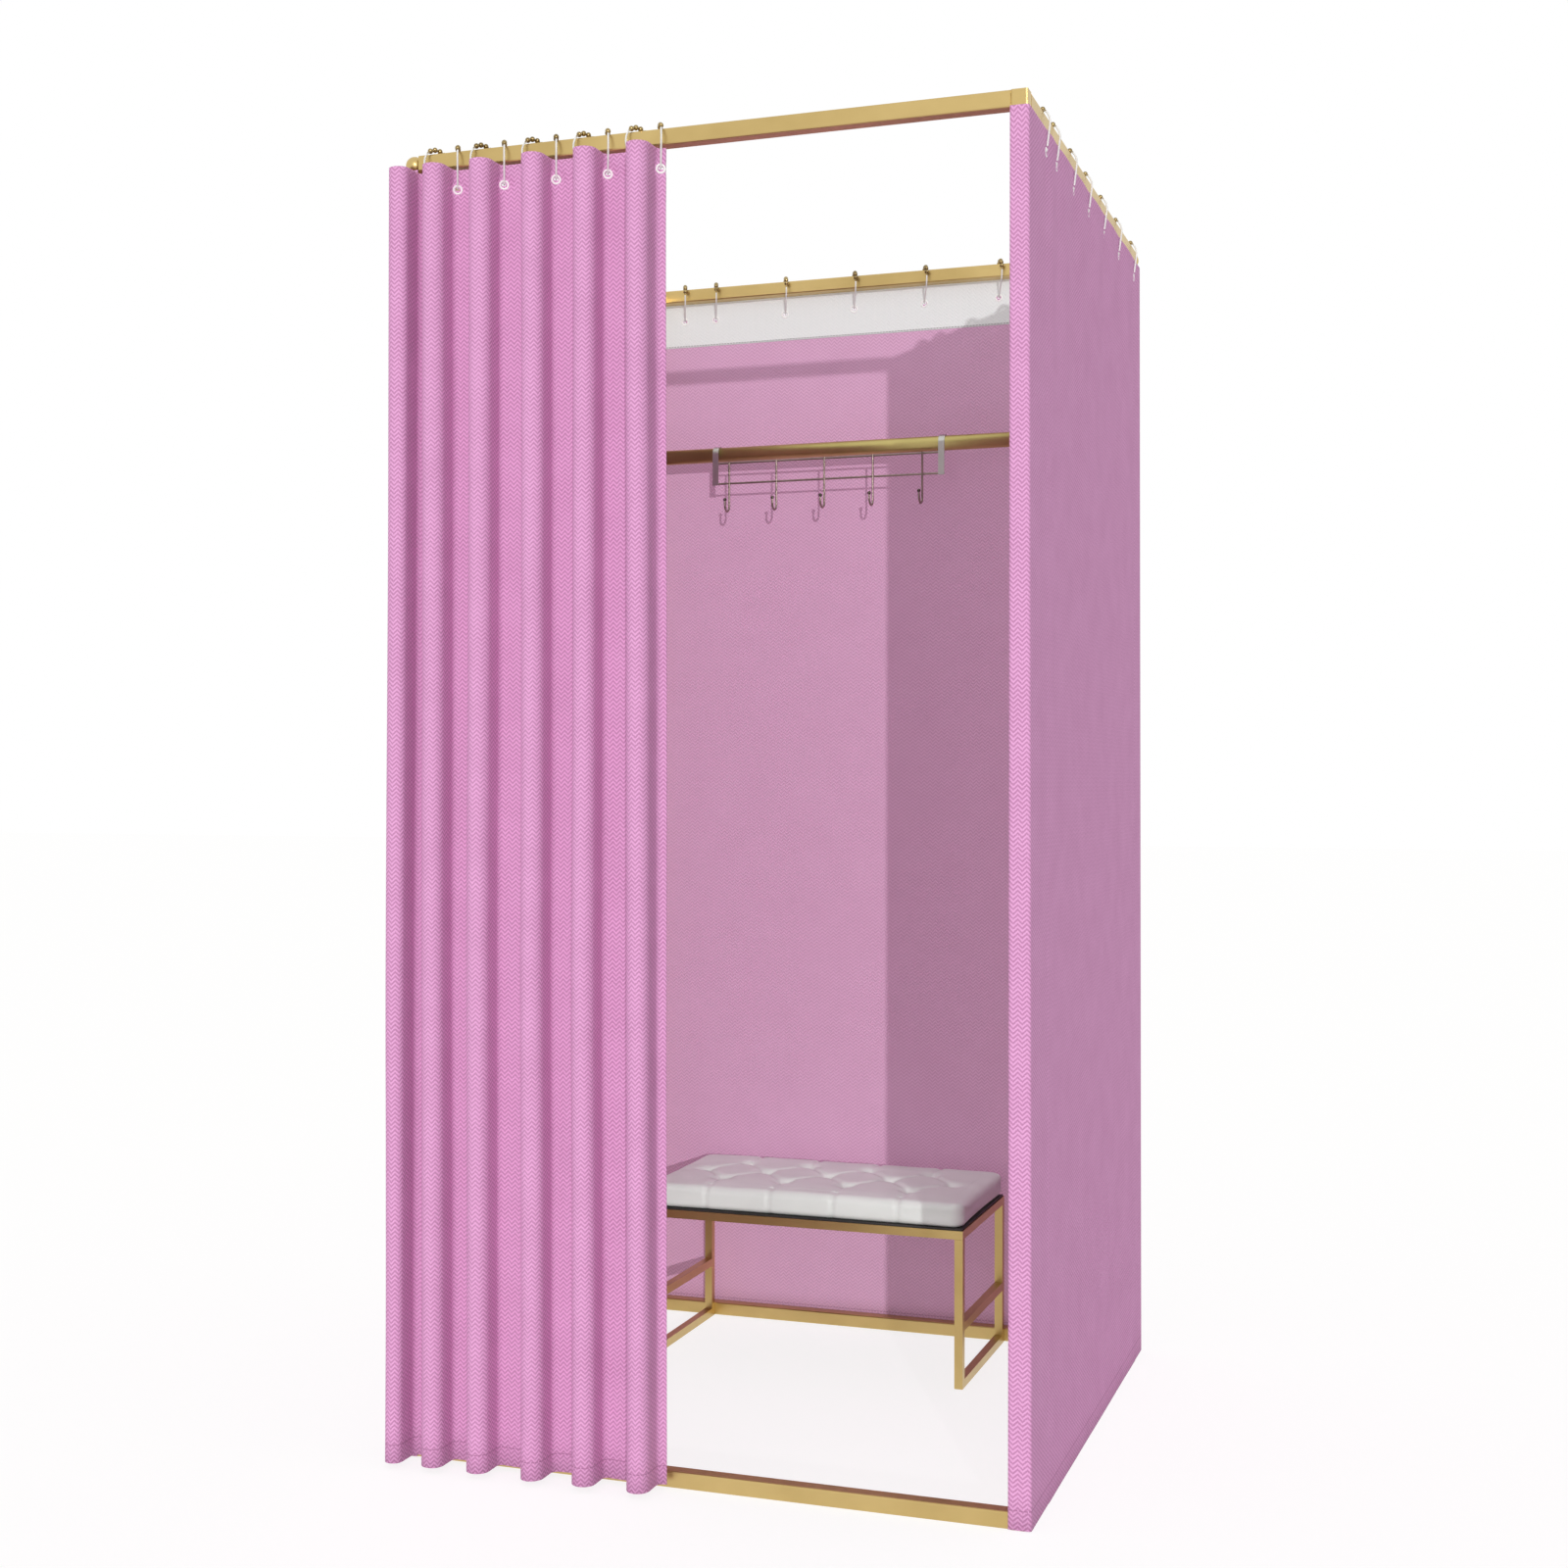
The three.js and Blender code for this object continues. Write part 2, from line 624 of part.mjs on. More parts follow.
function benchSide(sign) {
  const top = benchFrameHeight - benchTube - seam;
  const front = benchTube;
  const rear = benchDepth - benchTube;
  const stretcherTop = benchStretcherHeight + benchTube;
  const outline = [
    [0, 0], [benchDepth, 0], [benchDepth, top], [rear, top],
    [rear, stretcherTop], [front, stretcherTop], [front, top], [0, top],
  ];
  const gap = [
    [front, benchTube], [rear, benchTube], [rear, benchStretcherHeight], [front, benchStretcherHeight],
  ];
  const shape = new THREE.Shape(outline.map((point) => new THREE.Vector2(...point)));
  shape.holes.push(new THREE.Path(gap.map((point) => new THREE.Vector2(...point))));
  const x = benchCentre + sign * (benchWidth - benchTube) / 2;
  return acrossX(shape, benchTube).translate(x, benchFront, 0);
}

function benchSeatFrame() {
  const reach = benchWidth / 2;
  const beam = (x0, x1, y0, y1) => box(
    new THREE.Vector3(benchCentre + x0, benchFront + y0, benchFrameHeight - benchTube),
    new THREE.Vector3(benchCentre + x1, benchFront + y1, benchFrameHeight),
  );
  const beams = [
    beam(-reach, reach, 0, benchTube),
    beam(-reach, reach, benchDepth - benchTube, benchDepth),
    beam(-reach, benchTube - reach, 0, benchDepth),
    beam(reach - benchTube, reach, 0, benchDepth),
  ];
  for (let index = 1; index <= benchCrossBars; index += 1) {
    const x = -reach + 2 * reach * index / (benchCrossBars + 1);
    beams.push(beam(x - benchTube / 2, x + benchTube / 2, benchTube / 2, benchDepth - benchTube / 2));
  }
  return join(...beams);
}

function benchBoard() {
  const foot = benchFrameHeight + seam;
  const reach = benchWidth / 2 - boardInset;
  return box(
    new THREE.Vector3(benchCentre - reach, benchFront + boardInset, foot),
    new THREE.Vector3(benchCentre + reach, benchRear - boardInset, foot + boardThickness),
  );
}

// Tufts in staggered rows, as places on a cushion of half sizes 1 and 1
function tuftPlaces() {
  const places = [];
  tuftRowShares.forEach((rowShare, row) => {
    const shift = row % 2 === 0 ? 0.5 : 0;
    for (let index = 0; index < tuftColumns - 2 * shift; index += 1) {
      places.push([(index + shift - (tuftColumns - 1) / 2) * 2 / tuftColumns, rowShare]);
    }
  });
  return places;
}

// The cushion's surface over a point of its plan, given as shares of its half sizes
function cushionPoint(u, v, level, drop) {
  const halfWidth = benchWidth / 2;
  const halfDepth = benchDepth / 2;
  const round = cushionRound * (1 - Math.sqrt(Math.max(1 - drop * drop, 0)));
  const x = u * (halfWidth - round - cushionDraw * (1 - v * v));
  const y = v * (halfDepth - round - cushionDraw * (1 - u * u));
  return new THREE.Vector3(benchCentre + x, (benchFront + benchRear) / 2 + y, level);
}

function cushionTop(u, v) {
  const foot = benchFrameHeight + boardThickness + 2 * seam;
  const crown = cushionCrown * (1 - u ** 4) * (1 - v ** 4);
  const dips = tuftPlaces().map(([tuftU, tuftV]) => {
    const distance = Math.hypot((u - tuftU) * benchWidth / 2, (v - tuftV) * benchDepth / 2);
    return tuftDepth * Math.exp(-((distance / tuftSpread) ** 2));
  });
  return foot + cushionHeight - cushionCrown + crown - Math.max(...dips) * (1 - u ** 8) * (1 - v ** 8);
}

function cushion() {
  const foot = benchFrameHeight + boardThickness + 2 * seam;
  const position = [];
  const index = [];
  const push = (point) => position.push(...point.toArray()) / 3 - 1;
  const grid = [];
  for (let row = 0; row <= cushionRows; row += 1) {
    const v = -1 + 2 * row / cushionRows;
    grid.push([]);
    for (let column = 0; column <= cushionColumns; column += 1) {
      const u = -1 + 2 * column / cushionColumns;
      grid[row].push(push(cushionPoint(u, v, cushionTop(u, v), 1)));
    }
  }
  for (let row = 0; row < cushionRows; row += 1) {
    for (let column = 0; column < cushionColumns; column += 1) {
      const [a, b] = [grid[row][column], grid[row][column + 1]];
      const [c, d] = [grid[row + 1][column + 1], grid[row + 1][column]];
      index.push(a, b, c, a, c, d);
    }
  }
  const rim = [];
  for (let column = 0; column < cushionColumns; column += 1) rim.push([column, 0]);
  for (let row = 0; row < cushionRows; row += 1) rim.push([cushionColumns, row]);
  for (let column = cushionColumns; column > 0; column -= 1) rim.push([column, cushionRows]);
  for (let row = cushionRows; row > 0; row -= 1) rim.push([0, row]);
  const rimTop = foot + cushionHeight - cushionCrown;
  const sideLevels = [
    [rimTop - cushionRound * (1 - Math.SQRT1_2), Math.SQRT1_2],
    [rimTop - cushionRound, 0],
    [foot + cushionRound / 2, 0],
    [foot, 0.5],
  ];
  let upper = rim.map(([column, row]) => grid[row][column]);
  sideLevels.forEach(([level, drop]) => {
    const lower = rim.map(([column, row]) => {
      const u = -1 + 2 * column / cushionColumns;
      const v = -1 + 2 * row / cushionRows;
      return push(cushionPoint(u, v, level, drop));
    });
    lower.forEach((corner, place) => {
      const next = (place + 1) % lower.length;
      index.push(upper[place], corner, lower[next], upper[place], lower[next], upper[next]);
    });
    upper = lower;
  });
  const middle = push(new THREE.Vector3(benchCentre, (benchFront + benchRear) / 2, foot));
  upper.forEach((corner, place) => index.push(middle, upper[(place + 1) % upper.length], corner));
  const geometry = new THREE.BufferGeometry();
  geometry.setAttribute('position', new THREE.Float32BufferAttribute(position, 3));
  geometry.setIndex(index);
  return geometry;
}

// Assembly
const corners = { front_left: [-1, -1], front_right: [1, -1], rear_left: [-1, 1], rear_right: [1, 1] };
Object.entries(corners).forEach(([place, [signX, signY]]) => {
  add(`post_${place}`, post(signX, signY), brass);
  add(`corner_${place}`, cornerFitting(signX, signY, place === 'front_right'), brass);
});
[['top', railCentreHeight], ['base', half]].forEach(([level, height]) => {
  add(`rail_${level}_front`, railAlongX(-1, height), brass);
  add(`rail_${level}_rear`, railAlongX(1, height), brass);
  add(`rail_${level}_left`, railAlongY(-1, height), brass);
  add(`rail_${level}_right`, railAlongY(1, height), brass);
});

add('curtain_front', frontCurtain(), cloth);
add('curtain_left', sideCurtain(-1), cloth);
add('curtain_right', sideCurtain(1), cloth);
add('curtain_rear', rearCurtain(), cloth);

frontEyelets().forEach(({ x, turn }, index) => {
  const mesh = add(`hook_front_${index + 1}`, rollerHook(), steel);
  mesh.rotation.set(frontHook.tilt, 0, turn, 'ZYX');
  mesh.position.set(x + Math.sign(turn) * frontHook.slip, railFront, railCentreHeight + frontHook.seat);
});
rearHookPlaces().forEach((x, index) => {
  const mesh = add(`hook_rear_${index + 1}`, rollerHook(), steel);
  mesh.rotation.set(rearHook.tilt, 0, rearHook.turn, 'ZYX');
  mesh.position.set(x + rearHook.slip, roomDepth / 2 - half, railCentreHeight + rearHook.seat);
});
[['left', -1], ['right', 1]].forEach(([side, sign]) => {
  sideHookPlaces().forEach((y, index) => {
    const mesh = add(`hook_${side}_${index + 1}`, rollerHook(), steel);
    mesh.rotation.set(sideHook.tilt, 0, -sign * (Math.PI / 2 + sideHook.turn), 'ZYX');
    mesh.position.set(sign * (roomWidth / 2 - half), y + sideHook.slip, railCentreHeight + sideHook.seat);
  });
});

add('garment_rail', garmentRail(), darkBrass);
add('rail_bracket_left', railBracket(-1), brass);
add('rail_bracket_right', railBracket(1), brass);
add('hook_rack', hookRack(), steel);

add('bench_frame_left', benchSide(-1), brass);
add('bench_frame_right', benchSide(1), brass);
add('bench_seat_frame', benchSeatFrame(), brass);
add('bench_board', benchBoard(), board);
add('bench_cushion', cushion(), leather);

// The origin is moved to the middle of the outline
const outline = new THREE.Box3().setFromObject(room);
room.position.set(-(outline.min.x + outline.max.x) / 2, -(outline.min.y + outline.max.y) / 2, 0);

export default room;
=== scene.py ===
# %% [markdown]
# # Portable fitting room
# The fitting room is a frame of square brass tube, hung with woven curtains on roller hooks.
# Inside are a garment rail with a hook rack and a loose, tufted bench.
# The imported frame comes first: it holds every rigid part at its real place, in metres.
# This scene gives the parts their finish and makes the cloth, hooks, round metal and cushion finer.

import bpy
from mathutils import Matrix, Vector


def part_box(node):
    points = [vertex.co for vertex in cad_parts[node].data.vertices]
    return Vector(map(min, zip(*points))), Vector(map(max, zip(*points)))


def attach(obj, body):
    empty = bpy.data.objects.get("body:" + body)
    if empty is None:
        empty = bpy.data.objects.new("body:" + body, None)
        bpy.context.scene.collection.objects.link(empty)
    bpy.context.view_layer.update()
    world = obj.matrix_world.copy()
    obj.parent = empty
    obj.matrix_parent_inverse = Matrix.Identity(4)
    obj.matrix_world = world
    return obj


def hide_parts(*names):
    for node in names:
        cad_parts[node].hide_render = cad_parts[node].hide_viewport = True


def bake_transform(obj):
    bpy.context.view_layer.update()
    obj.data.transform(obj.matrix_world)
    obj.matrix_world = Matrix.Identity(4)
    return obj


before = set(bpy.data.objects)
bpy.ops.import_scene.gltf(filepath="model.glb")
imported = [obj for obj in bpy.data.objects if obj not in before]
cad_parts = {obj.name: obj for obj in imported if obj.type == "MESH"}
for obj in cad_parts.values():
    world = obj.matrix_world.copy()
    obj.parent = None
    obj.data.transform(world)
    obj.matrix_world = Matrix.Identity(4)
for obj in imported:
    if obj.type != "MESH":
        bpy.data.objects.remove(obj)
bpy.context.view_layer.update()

import math

import bmesh
import bpy
from mathutils import Matrix, Vector, noise

# %% [markdown]
# ## Camera
# A scene can be set up from a camera that was worked out from straight edges of the real thing.
# The view direction is kept as three turns, because they say plainly how the camera stands:
# turned left by 19 degrees, almost level, and hardly rolled.

# %% Camera
camera_place = Vector((1.11309, -3.30414, 1.06721))
camera_yaw, camera_pitch, camera_roll = (math.radians(a) for a in (19.015, -0.1115, 0.0658))
camera_data = bpy.data.cameras.new("camera")
camera_data.sensor_width = 36
camera_data.lens = 46.63
camera = bpy.data.objects.new("camera", camera_data)
camera.matrix_world = (
    Matrix.Translation(camera_place)
    @ Matrix.Rotation(camera_yaw, 4, "Z")
    @ Matrix.Rotation(math.pi / 2 + camera_pitch, 4, "X")
    @ Matrix.Rotation(camera_roll, 4, "Z")
)
bpy.context.scene.collection.objects.link(camera)
bpy.context.scene.camera = camera
bpy.context.scene.view_settings.view_transform = "Standard"
print("camera at", [round(c, 2) for c in camera_place], "with a", camera_data.lens, "mm lens")

# %% [markdown]
# ## Light and floor
# Studio light comes from many sides. A sharp sun, low at the front right, shapes the folds and
# reaches through the doorway to the rear curtain. Two soft fills without shadows, one from the
# front and one from above, stand for the light that bounces about inside a pale studio.
# The world is seen as pure white by the camera and by the metal, which keeps the background
# clean without more light on the object.

# %% Suns
def sun(name, travel, strength, angle, shadow=True):
    data = bpy.data.lights.new(name, "SUN")
    data.energy = strength
    data.angle = math.radians(angle)
    data.use_shadow = shadow
    lamp = bpy.data.objects.new(name, data)
    lamp.visible_glossy = shadow
    lamp.rotation_euler = Vector(travel).to_track_quat("-Z", "Y").to_euler()
    bpy.context.scene.collection.objects.link(lamp)


sun("sun_doorway", (-0.474, 1.0, -0.165), strength=1.1, angle=0.6)
sun("front_fill", (0.12, 0.95, -0.25), strength=1.0, angle=30, shadow=False)
sun("top_fill", (0.0, 0.1, -1.0), strength=0.6, angle=30, shadow=False)
print(len(bpy.data.lights), "lamps")

# %% World
def new_node(tree, kind, x=0, y=0, **inputs):
    node = tree.nodes.new(kind)
    node.location = (x, y)
    for name, value in inputs.items():
        node.inputs[name.replace("_", " ")].default_value = value
    return node


def calc(tree, operation, *values, x=0, y=0):
    """A math node. A number is set on its socket, and anything else is linked to it."""
    node = new_node(tree, "ShaderNodeMath", x, y)
    node.operation = operation
    for socket, value in zip(node.inputs, values):
        if isinstance(value, (int, float)):
            socket.default_value = value
        else:
            tree.links.new(value, socket)
    return node.outputs[0]


def shown_background(tree):
    """One where the camera, a reflection or clear glass sees the background, and zero elsewhere."""
    rays = new_node(tree, "ShaderNodeLightPath", -700, 200).outputs
    total = calc(tree, "MAXIMUM", rays["Is Camera Ray"], rays["Is Glossy Ray"], x=-500, y=200)
    return calc(tree, "MAXIMUM", total, rays["Is Transmission Ray"], x=-300, y=200)


world = bpy.data.worlds.new("studio")
bpy.context.scene.world = world
world.use_nodes = True
world.node_tree.nodes.clear()
fill = new_node(world.node_tree, "ShaderNodeBackground", Color=(1, 1, 1, 1), Strength=0.48)
seen = new_node(world.node_tree, "ShaderNodeBackground", Color=(1, 1, 1, 1), Strength=1.0)
choose = new_node(world.node_tree, "ShaderNodeMixShader")
world_out = new_node(world.node_tree, "ShaderNodeOutputWorld")
world.node_tree.links.new(shown_background(world.node_tree), choose.inputs["Fac"])
world.node_tree.links.new(fill.outputs[0], choose.inputs[1])
world.node_tree.links.new(seen.outputs[0], choose.inputs[2])
world.node_tree.links.new(choose.outputs[0], world_out.inputs["Surface"])
print("the world lights the object with", round(fill.inputs["Strength"].default_value, 2))

# %% Floor
def new_material(name):
    material = bpy.data.materials.new(name)
    material.use_nodes = True
    tree = material.node_tree
    tree.nodes.clear()
    out = new_node(tree, "ShaderNodeOutputMaterial", 900, 0)
    return material, tree, out


floor_reach, glow_share = 30, 0.6
floor_material, tree, out = new_material("studio_floor")
floor_diffuse = new_node(tree, "ShaderNodeBsdfDiffuse", Color=(0.86, 0.85, 0.84, 1))
floor_glow = new_node(tree, "ShaderNodeEmission", Color=(1, 1, 1, 1), Strength=1.2)
floor_mix = new_node(tree, "ShaderNodeMixShader")
floor_share = calc(tree, "MULTIPLY", shown_background(tree), glow_share)
tree.links.new(floor_share, floor_mix.inputs["Fac"])
tree.links.new(floor_diffuse.outputs[0], floor_mix.inputs[1])
tree.links.new(floor_glow.outputs[0], floor_mix.inputs[2])
tree.links.new(floor_mix.outputs[0], out.inputs["Surface"])

floor_mesh = bpy.data.meshes.new("studio_floor")
floor_bm = bmesh.new()
bmesh.ops.create_grid(floor_bm, x_segments=1, y_segments=1, size=floor_reach)
floor_bm.to_mesh(floor_mesh)
floor_bm.free()
floor_mesh.materials.append(floor_material)
floor = bpy.data.objects.new("studio_floor", floor_mesh)
bpy.context.scene.collection.objects.link(floor)
print("floor", 2 * floor_reach, "m wide")

# %% [markdown]
# ## Metal finishes
# Polished tube is never one even gold. Fine brush lines catch the light, and a slow cloudiness
# varies the tone. Noise read from Object coordinates gives both, at the metal's real scale.

# %% Metal
def object_noise(tree, scale, detail, x, y, stretch=(1, 1, 1)):
    coordinates = new_node(tree, "ShaderNodeTexCoord", x - 400, y)
    mapping = new_node(tree, "ShaderNodeMapping", x - 200, y, Scale=stretch)
    grain = new_node(tree, "ShaderNodeTexNoise", x, y, Scale=scale, Detail=detail)
    tree.links.new(coordinates.outputs["Object"], mapping.inputs["Vector"])
    tree.links.new(mapping.outputs[0], grain.inputs["Vector"])
    return grain


def ramp(tree, source, stops, x, y):
    node = new_node(tree, "ShaderNodeValToRGB", x, y)
    for element, (position, color) in zip(node.color_ramp.elements, stops):
        element.position = position
        element.color = (*color, 1)
    tree.links.new(source, node.inputs["Fac"])
    return node.outputs["Color"]


brush = 0.12


def metal(name, light, dark, rough):
    material, tree, out = new_material(name)
    cloud = object_noise(tree, scale=9.0, detail=3.0, x=-400, y=300)
    brushed = object_noise(tree, scale=420.0, detail=4.0, x=-400, y=0)
    shader = new_node(tree, "ShaderNodeBsdfPrincipled", 600, 0, Metallic=1.0)
    color = ramp(tree, cloud.outputs["Fac"], [(0.3, dark), (0.7, light)], 0, 300)
    spread = new_node(tree, "ShaderNodeMapRange", 0, 0)
    spread.inputs["To Min"].default_value = rough - brush / 2
    spread.inputs["To Max"].default_value = rough + brush / 2
    bump = new_node(tree, "ShaderNodeBump", 200, -250, Strength=0.06, Distance=0.0004)
    tree.links.new(color, shader.inputs["Base Color"])
    tree.links.new(brushed.outputs["Fac"], spread.inputs["Value"])
    tree.links.new(spread.outputs[0], shader.inputs["Roughness"])
    tree.links.new(brushed.outputs["Fac"], bump.inputs["Height"])
    tree.links.new(bump.outputs[0], shader.inputs["Normal"])
    tree.links.new(shader.outputs[0], out.inputs["Surface"])
    return material


tube_brass = metal("tube_brass", light=(0.66, 0.49, 0.205), dark=(0.56, 0.405, 0.16), rough=0.36)
rail_brass = metal("rail_brass", light=(0.62, 0.52, 0.21), dark=(0.51, 0.425, 0.16), rough=0.42)
bead_brass = metal("bead_brass", light=(0.44, 0.33, 0.15), dark=(0.24, 0.17, 0.07), rough=0.28)
satin_steel = metal("satin_steel", light=(0.64, 0.63, 0.60), dark=(0.50, 0.49, 0.46), rough=0.30)
wire_steel = metal("wire_steel", light=(0.40, 0.34, 0.29), dark=(0.28, 0.23, 0.19), rough=0.38)
tip_metal = metal("tip_metal", light=(0.16, 0.13, 0.11), dark=(0.10, 0.08, 0.07), rough=0.35)
metals = (tube_brass, rail_brass, bead_brass, satin_steel, wire_steel, tip_metal)
print("metals:", ", ".join(material.name for material in metals))

# %% [markdown]
# ## Painted wire and eyelets
# The hooks' wire and the eyelets are coated white. A thin gloss over a slightly uneven coat
# looks right, so a coat layer does it rather than a lower roughness all over.

# %% White coating
patch_shade = 0.93


def coated(name, color, rough):
    material, tree, out = new_material(name)
    patch = object_noise(tree, scale=160.0, detail=3.0, x=-300, y=0)
    shader = new_node(tree, "ShaderNodeBsdfPrincipled", 600, 0, Roughness=rough)
    shader.inputs["Coat Weight"].default_value = 0.3
    shaded = [patch_shade * c for c in color]
    tone = ramp(tree, patch.outputs["Fac"], [(0.3, shaded), (0.7, color)], 0, 0)
    tree.links.new(tone, shader.inputs["Base Color"])
    tree.links.new(shader.outputs[0], out.inputs["Surface"])
    return material


white_coat = coated("white_coat", (0.75, 0.74, 0.72), rough=0.35)
eyelet_coat = coated("eyelet_coat", (0.88, 0.87, 0.85), rough=0.30)
print("coatings:", white_coat.name, "and", eyelet_coat.name)

# %% [markdown]
# ## Woven cloth
# The cloth is a herringbone: ridges run at a slant, and turn back every few millimetres.
# A triangle wave across the cloth, added to the height, bends straight stripes into the zigzag.
# The pattern reads the cloth's own flat measure, kept as a UV map in metres, so it follows
# every fold as a real weave does. The back of the cloth shows the same weave, only fainter,
# and its paler, less pink tone is painted light for the lit inside of the room.

# %% Herringbone
weave_width, weave_pitch, weave_slope = 0.0115, 0.0068, 1.1
stitch_length, stitch_width, stitch_depth = 0.006, 0.0009, 1.5
curtain_hem, tape_hem = 0.028, 0.003


def zigzag(tree, across, up):
    turn = calc(tree, "PINGPONG", across, weave_width / 2, x=-600, y=200)
    slant = calc(tree, "MULTIPLY", turn, weave_slope, x=-450, y=200)
    height = calc(tree, "ADD", up, slant, x=-300, y=200)
    phase = calc(tree, "MULTIPLY", height, 2 * math.pi / weave_pitch, x=-150, y=200)
    wave = calc(tree, "SINE", phase, x=0, y=200)
    return calc(tree, "MULTIPLY_ADD", wave, 0.5, 0.5, x=150, y=200)


def add_noise(tree, uv, base, scale, detail, effect, y):
    """Add a noise that swings evenly up and down to a value."""
    grain = new_node(tree, "ShaderNodeTexNoise", -400, y, Scale=scale, Detail=detail)
    tree.links.new(uv, grain.inputs["Vector"])
    swing = calc(tree, "SUBTRACT", grain.outputs["Fac"], 0.5, x=-200, y=y)
    return calc(tree, "MULTIPLY_ADD", swing, effect, base, x=0, y=y)


def stitches(tree, across, up, line):
    """One on each stitch of a seam that runs at this height, and zero elsewhere."""
    off = calc(tree, "SUBTRACT", up, line, x=-600, y=-600)
    off = calc(tree, "ABSOLUTE", off, x=-450, y=-600)
    near = calc(tree, "LESS_THAN", off, stitch_width, x=-300, y=-600)
    dash = calc(tree, "PINGPONG", across, stitch_length / 2, x=-600, y=-750)
    on_dash = calc(tree, "GREATER_THAN", dash, stitch_length / 8, x=-300, y=-750)
    return calc(tree, "MULTIPLY", near, on_dash, x=-150, y=-650)


# %% Weave the cloths
def woven(name, light, dark, contrast, hem, thread_shade):
    material, tree, out = new_material(name)
    uv = new_node(tree, "ShaderNodeUVMap", -1000, 0)
    uv.uv_map = "Cloth"
    parts = new_node(tree, "ShaderNodeSeparateXYZ", -800, 0)
    tree.links.new(uv.outputs[0], parts.inputs[0])
    across, up = parts.outputs["X"], parts.outputs["Y"]
    ridge = zigzag(tree, across, up)
    tone = add_noise(tree, uv.outputs[0], ridge, scale=600.0, detail=2.0, effect=1.5, y=-200)
    tone = add_noise(tree, uv.outputs[0], tone, scale=14.0, detail=3.0, effect=0.5, y=-400)
    middle = [(a + b) / 2 for a, b in zip(light, dark)]
    soft_dark, soft_light = (
        [m + (c - m) * contrast for m, c in zip(middle, shade)] for shade in (dark, light)
    )
    color = ramp(tree, tone, [(0.15, soft_dark), (0.85, soft_light)], 300, 100)
    stitch = stitches(tree, across, up, hem)
    thread = new_node(tree, "ShaderNodeMix", 450, 0)
    thread.data_type = "RGBA"
    thread.inputs[7].default_value = (*[thread_shade * c for c in dark], 1)
    tree.links.new(stitch, thread.inputs["Factor"])
    tree.links.new(color, thread.inputs[6])
    sunk = calc(tree, "MULTIPLY", stitch, stitch_depth, x=0, y=-800)
    height = calc(tree, "SUBTRACT", ridge, sunk, x=0, y=-650)
    bump = new_node(tree, "ShaderNodeBump", 450, -300, Strength=0.35, Distance=0.0008)
    tree.links.new(height, bump.inputs["Height"])
    shader = new_node(tree, "ShaderNodeBsdfPrincipled", 650, 0, Roughness=0.85)
    shader.inputs["Specular IOR Level"].default_value = 0.25
    tree.links.new(thread.outputs[2], shader.inputs["Base Color"])
    tree.links.new(bump.outputs[0], shader.inputs["Normal"])
    tree.links.new(shader.outputs[0], out.inputs["Surface"])
    return material


pink_weave = woven(
    "pink_weave", light=(0.76, 0.385, 0.65), dark=(0.475, 0.203, 0.375),
    contrast=0.85, hem=curtain_hem, thread_shade=0.9,
)
# The back's paler, less pink colour is painted light for the lit inside of the room.
weave_back_painted_light = woven(
    "weave_back_painted_light", light=(0.77, 0.465, 0.665), dark=(0.48, 0.25, 0.385),
    contrast=0.4, hem=curtain_hem, thread_shade=0.9,
)
# The tape's dark grey stitches, 3 mm above its lower edge, are its seam and also painted shade for
# the thin shadow along that edge.
white_tape = woven(
    "white_tape", light=(0.77, 0.79, 0.78), dark=(0.73, 0.75, 0.74),
    contrast=0.5, hem=tape_hem, thread_shade=0.55,
)
print("a rib every", weave_pitch * 1000, "mm, turning back every", weave_width * 500, "mm")

# %% [markdown]
# ## Leather and board
# White upholstery leather has a fine pebbled grain. A Voronoi texture at about a millimetre,
# used only as bump, gives it. The board under it is stained black, with a faint wood grain.

# %% Leather and board
def leather(name, light, shade):
    material, tree, out = new_material(name)
    coordinates = new_node(tree, "ShaderNodeTexCoord", -800, 0)
    pebbles = new_node(tree, "ShaderNodeTexVoronoi", -500, -200, Scale=700.0)
    pebbles.feature = "DISTANCE_TO_EDGE"
    slow = object_noise(tree, scale=12.0, detail=3.0, x=-400, y=200)
    tree.links.new(coordinates.outputs["Object"], pebbles.inputs["Vector"])
    color = ramp(tree, slow.outputs["Fac"], [(0.3, shade), (0.7, light)], 0, 200)
    bump = new_node(tree, "ShaderNodeBump", 200, -200, Strength=0.25, Distance=0.0004)
    shader = new_node(tree, "ShaderNodeBsdfPrincipled", 600, 0, Roughness=0.42)
    shader.inputs["Coat Weight"].default_value = 0.12
    shader.inputs["Coat Roughness"].default_value = 0.3
    tree.links.new(pebbles.outputs["Distance"], bump.inputs["Height"])
    tree.links.new(color, shader.inputs["Base Color"])
    tree.links.new(bump.outputs[0], shader.inputs["Normal"])
    tree.links.new(shader.outputs[0], out.inputs["Surface"])
    return material


def stained_wood(name, light, dark):
    material, tree, out = new_material(name)
    grain = object_noise(tree, scale=60.0, detail=5.0, x=-400, y=0, stretch=(0.08, 1, 1))
    shader = new_node(tree, "ShaderNodeBsdfPrincipled", 600, 0, Roughness=0.55)
    color = ramp(tree, grain.outputs["Fac"], [(0.35, dark), (0.65, light)], 0, 0)
    tree.links.new(color, shader.inputs["Base Color"])
    tree.links.new(shader.outputs[0], out.inputs["Surface"])
    return material


# The leather's slight green tint is painted light: it cancels the pink light that the curtains
# bounce onto the cushion.
white_leather = leather("white_leather", light=(0.73, 0.785, 0.74), shade=(0.685, 0.735, 0.695))
black_board = stained_wood("black_board", light=(0.035, 0.032, 0.03), dark=(0.015, 0.014, 0.013))
print("seat:", white_leather.name, "on", black_board.name)

# %% [markdown]
# ## Dress the rigid parts
# The tubes, blocks and bench frames already have their true shape in the frame, so they only
# change their finish. One table says which finish each kind of part takes.

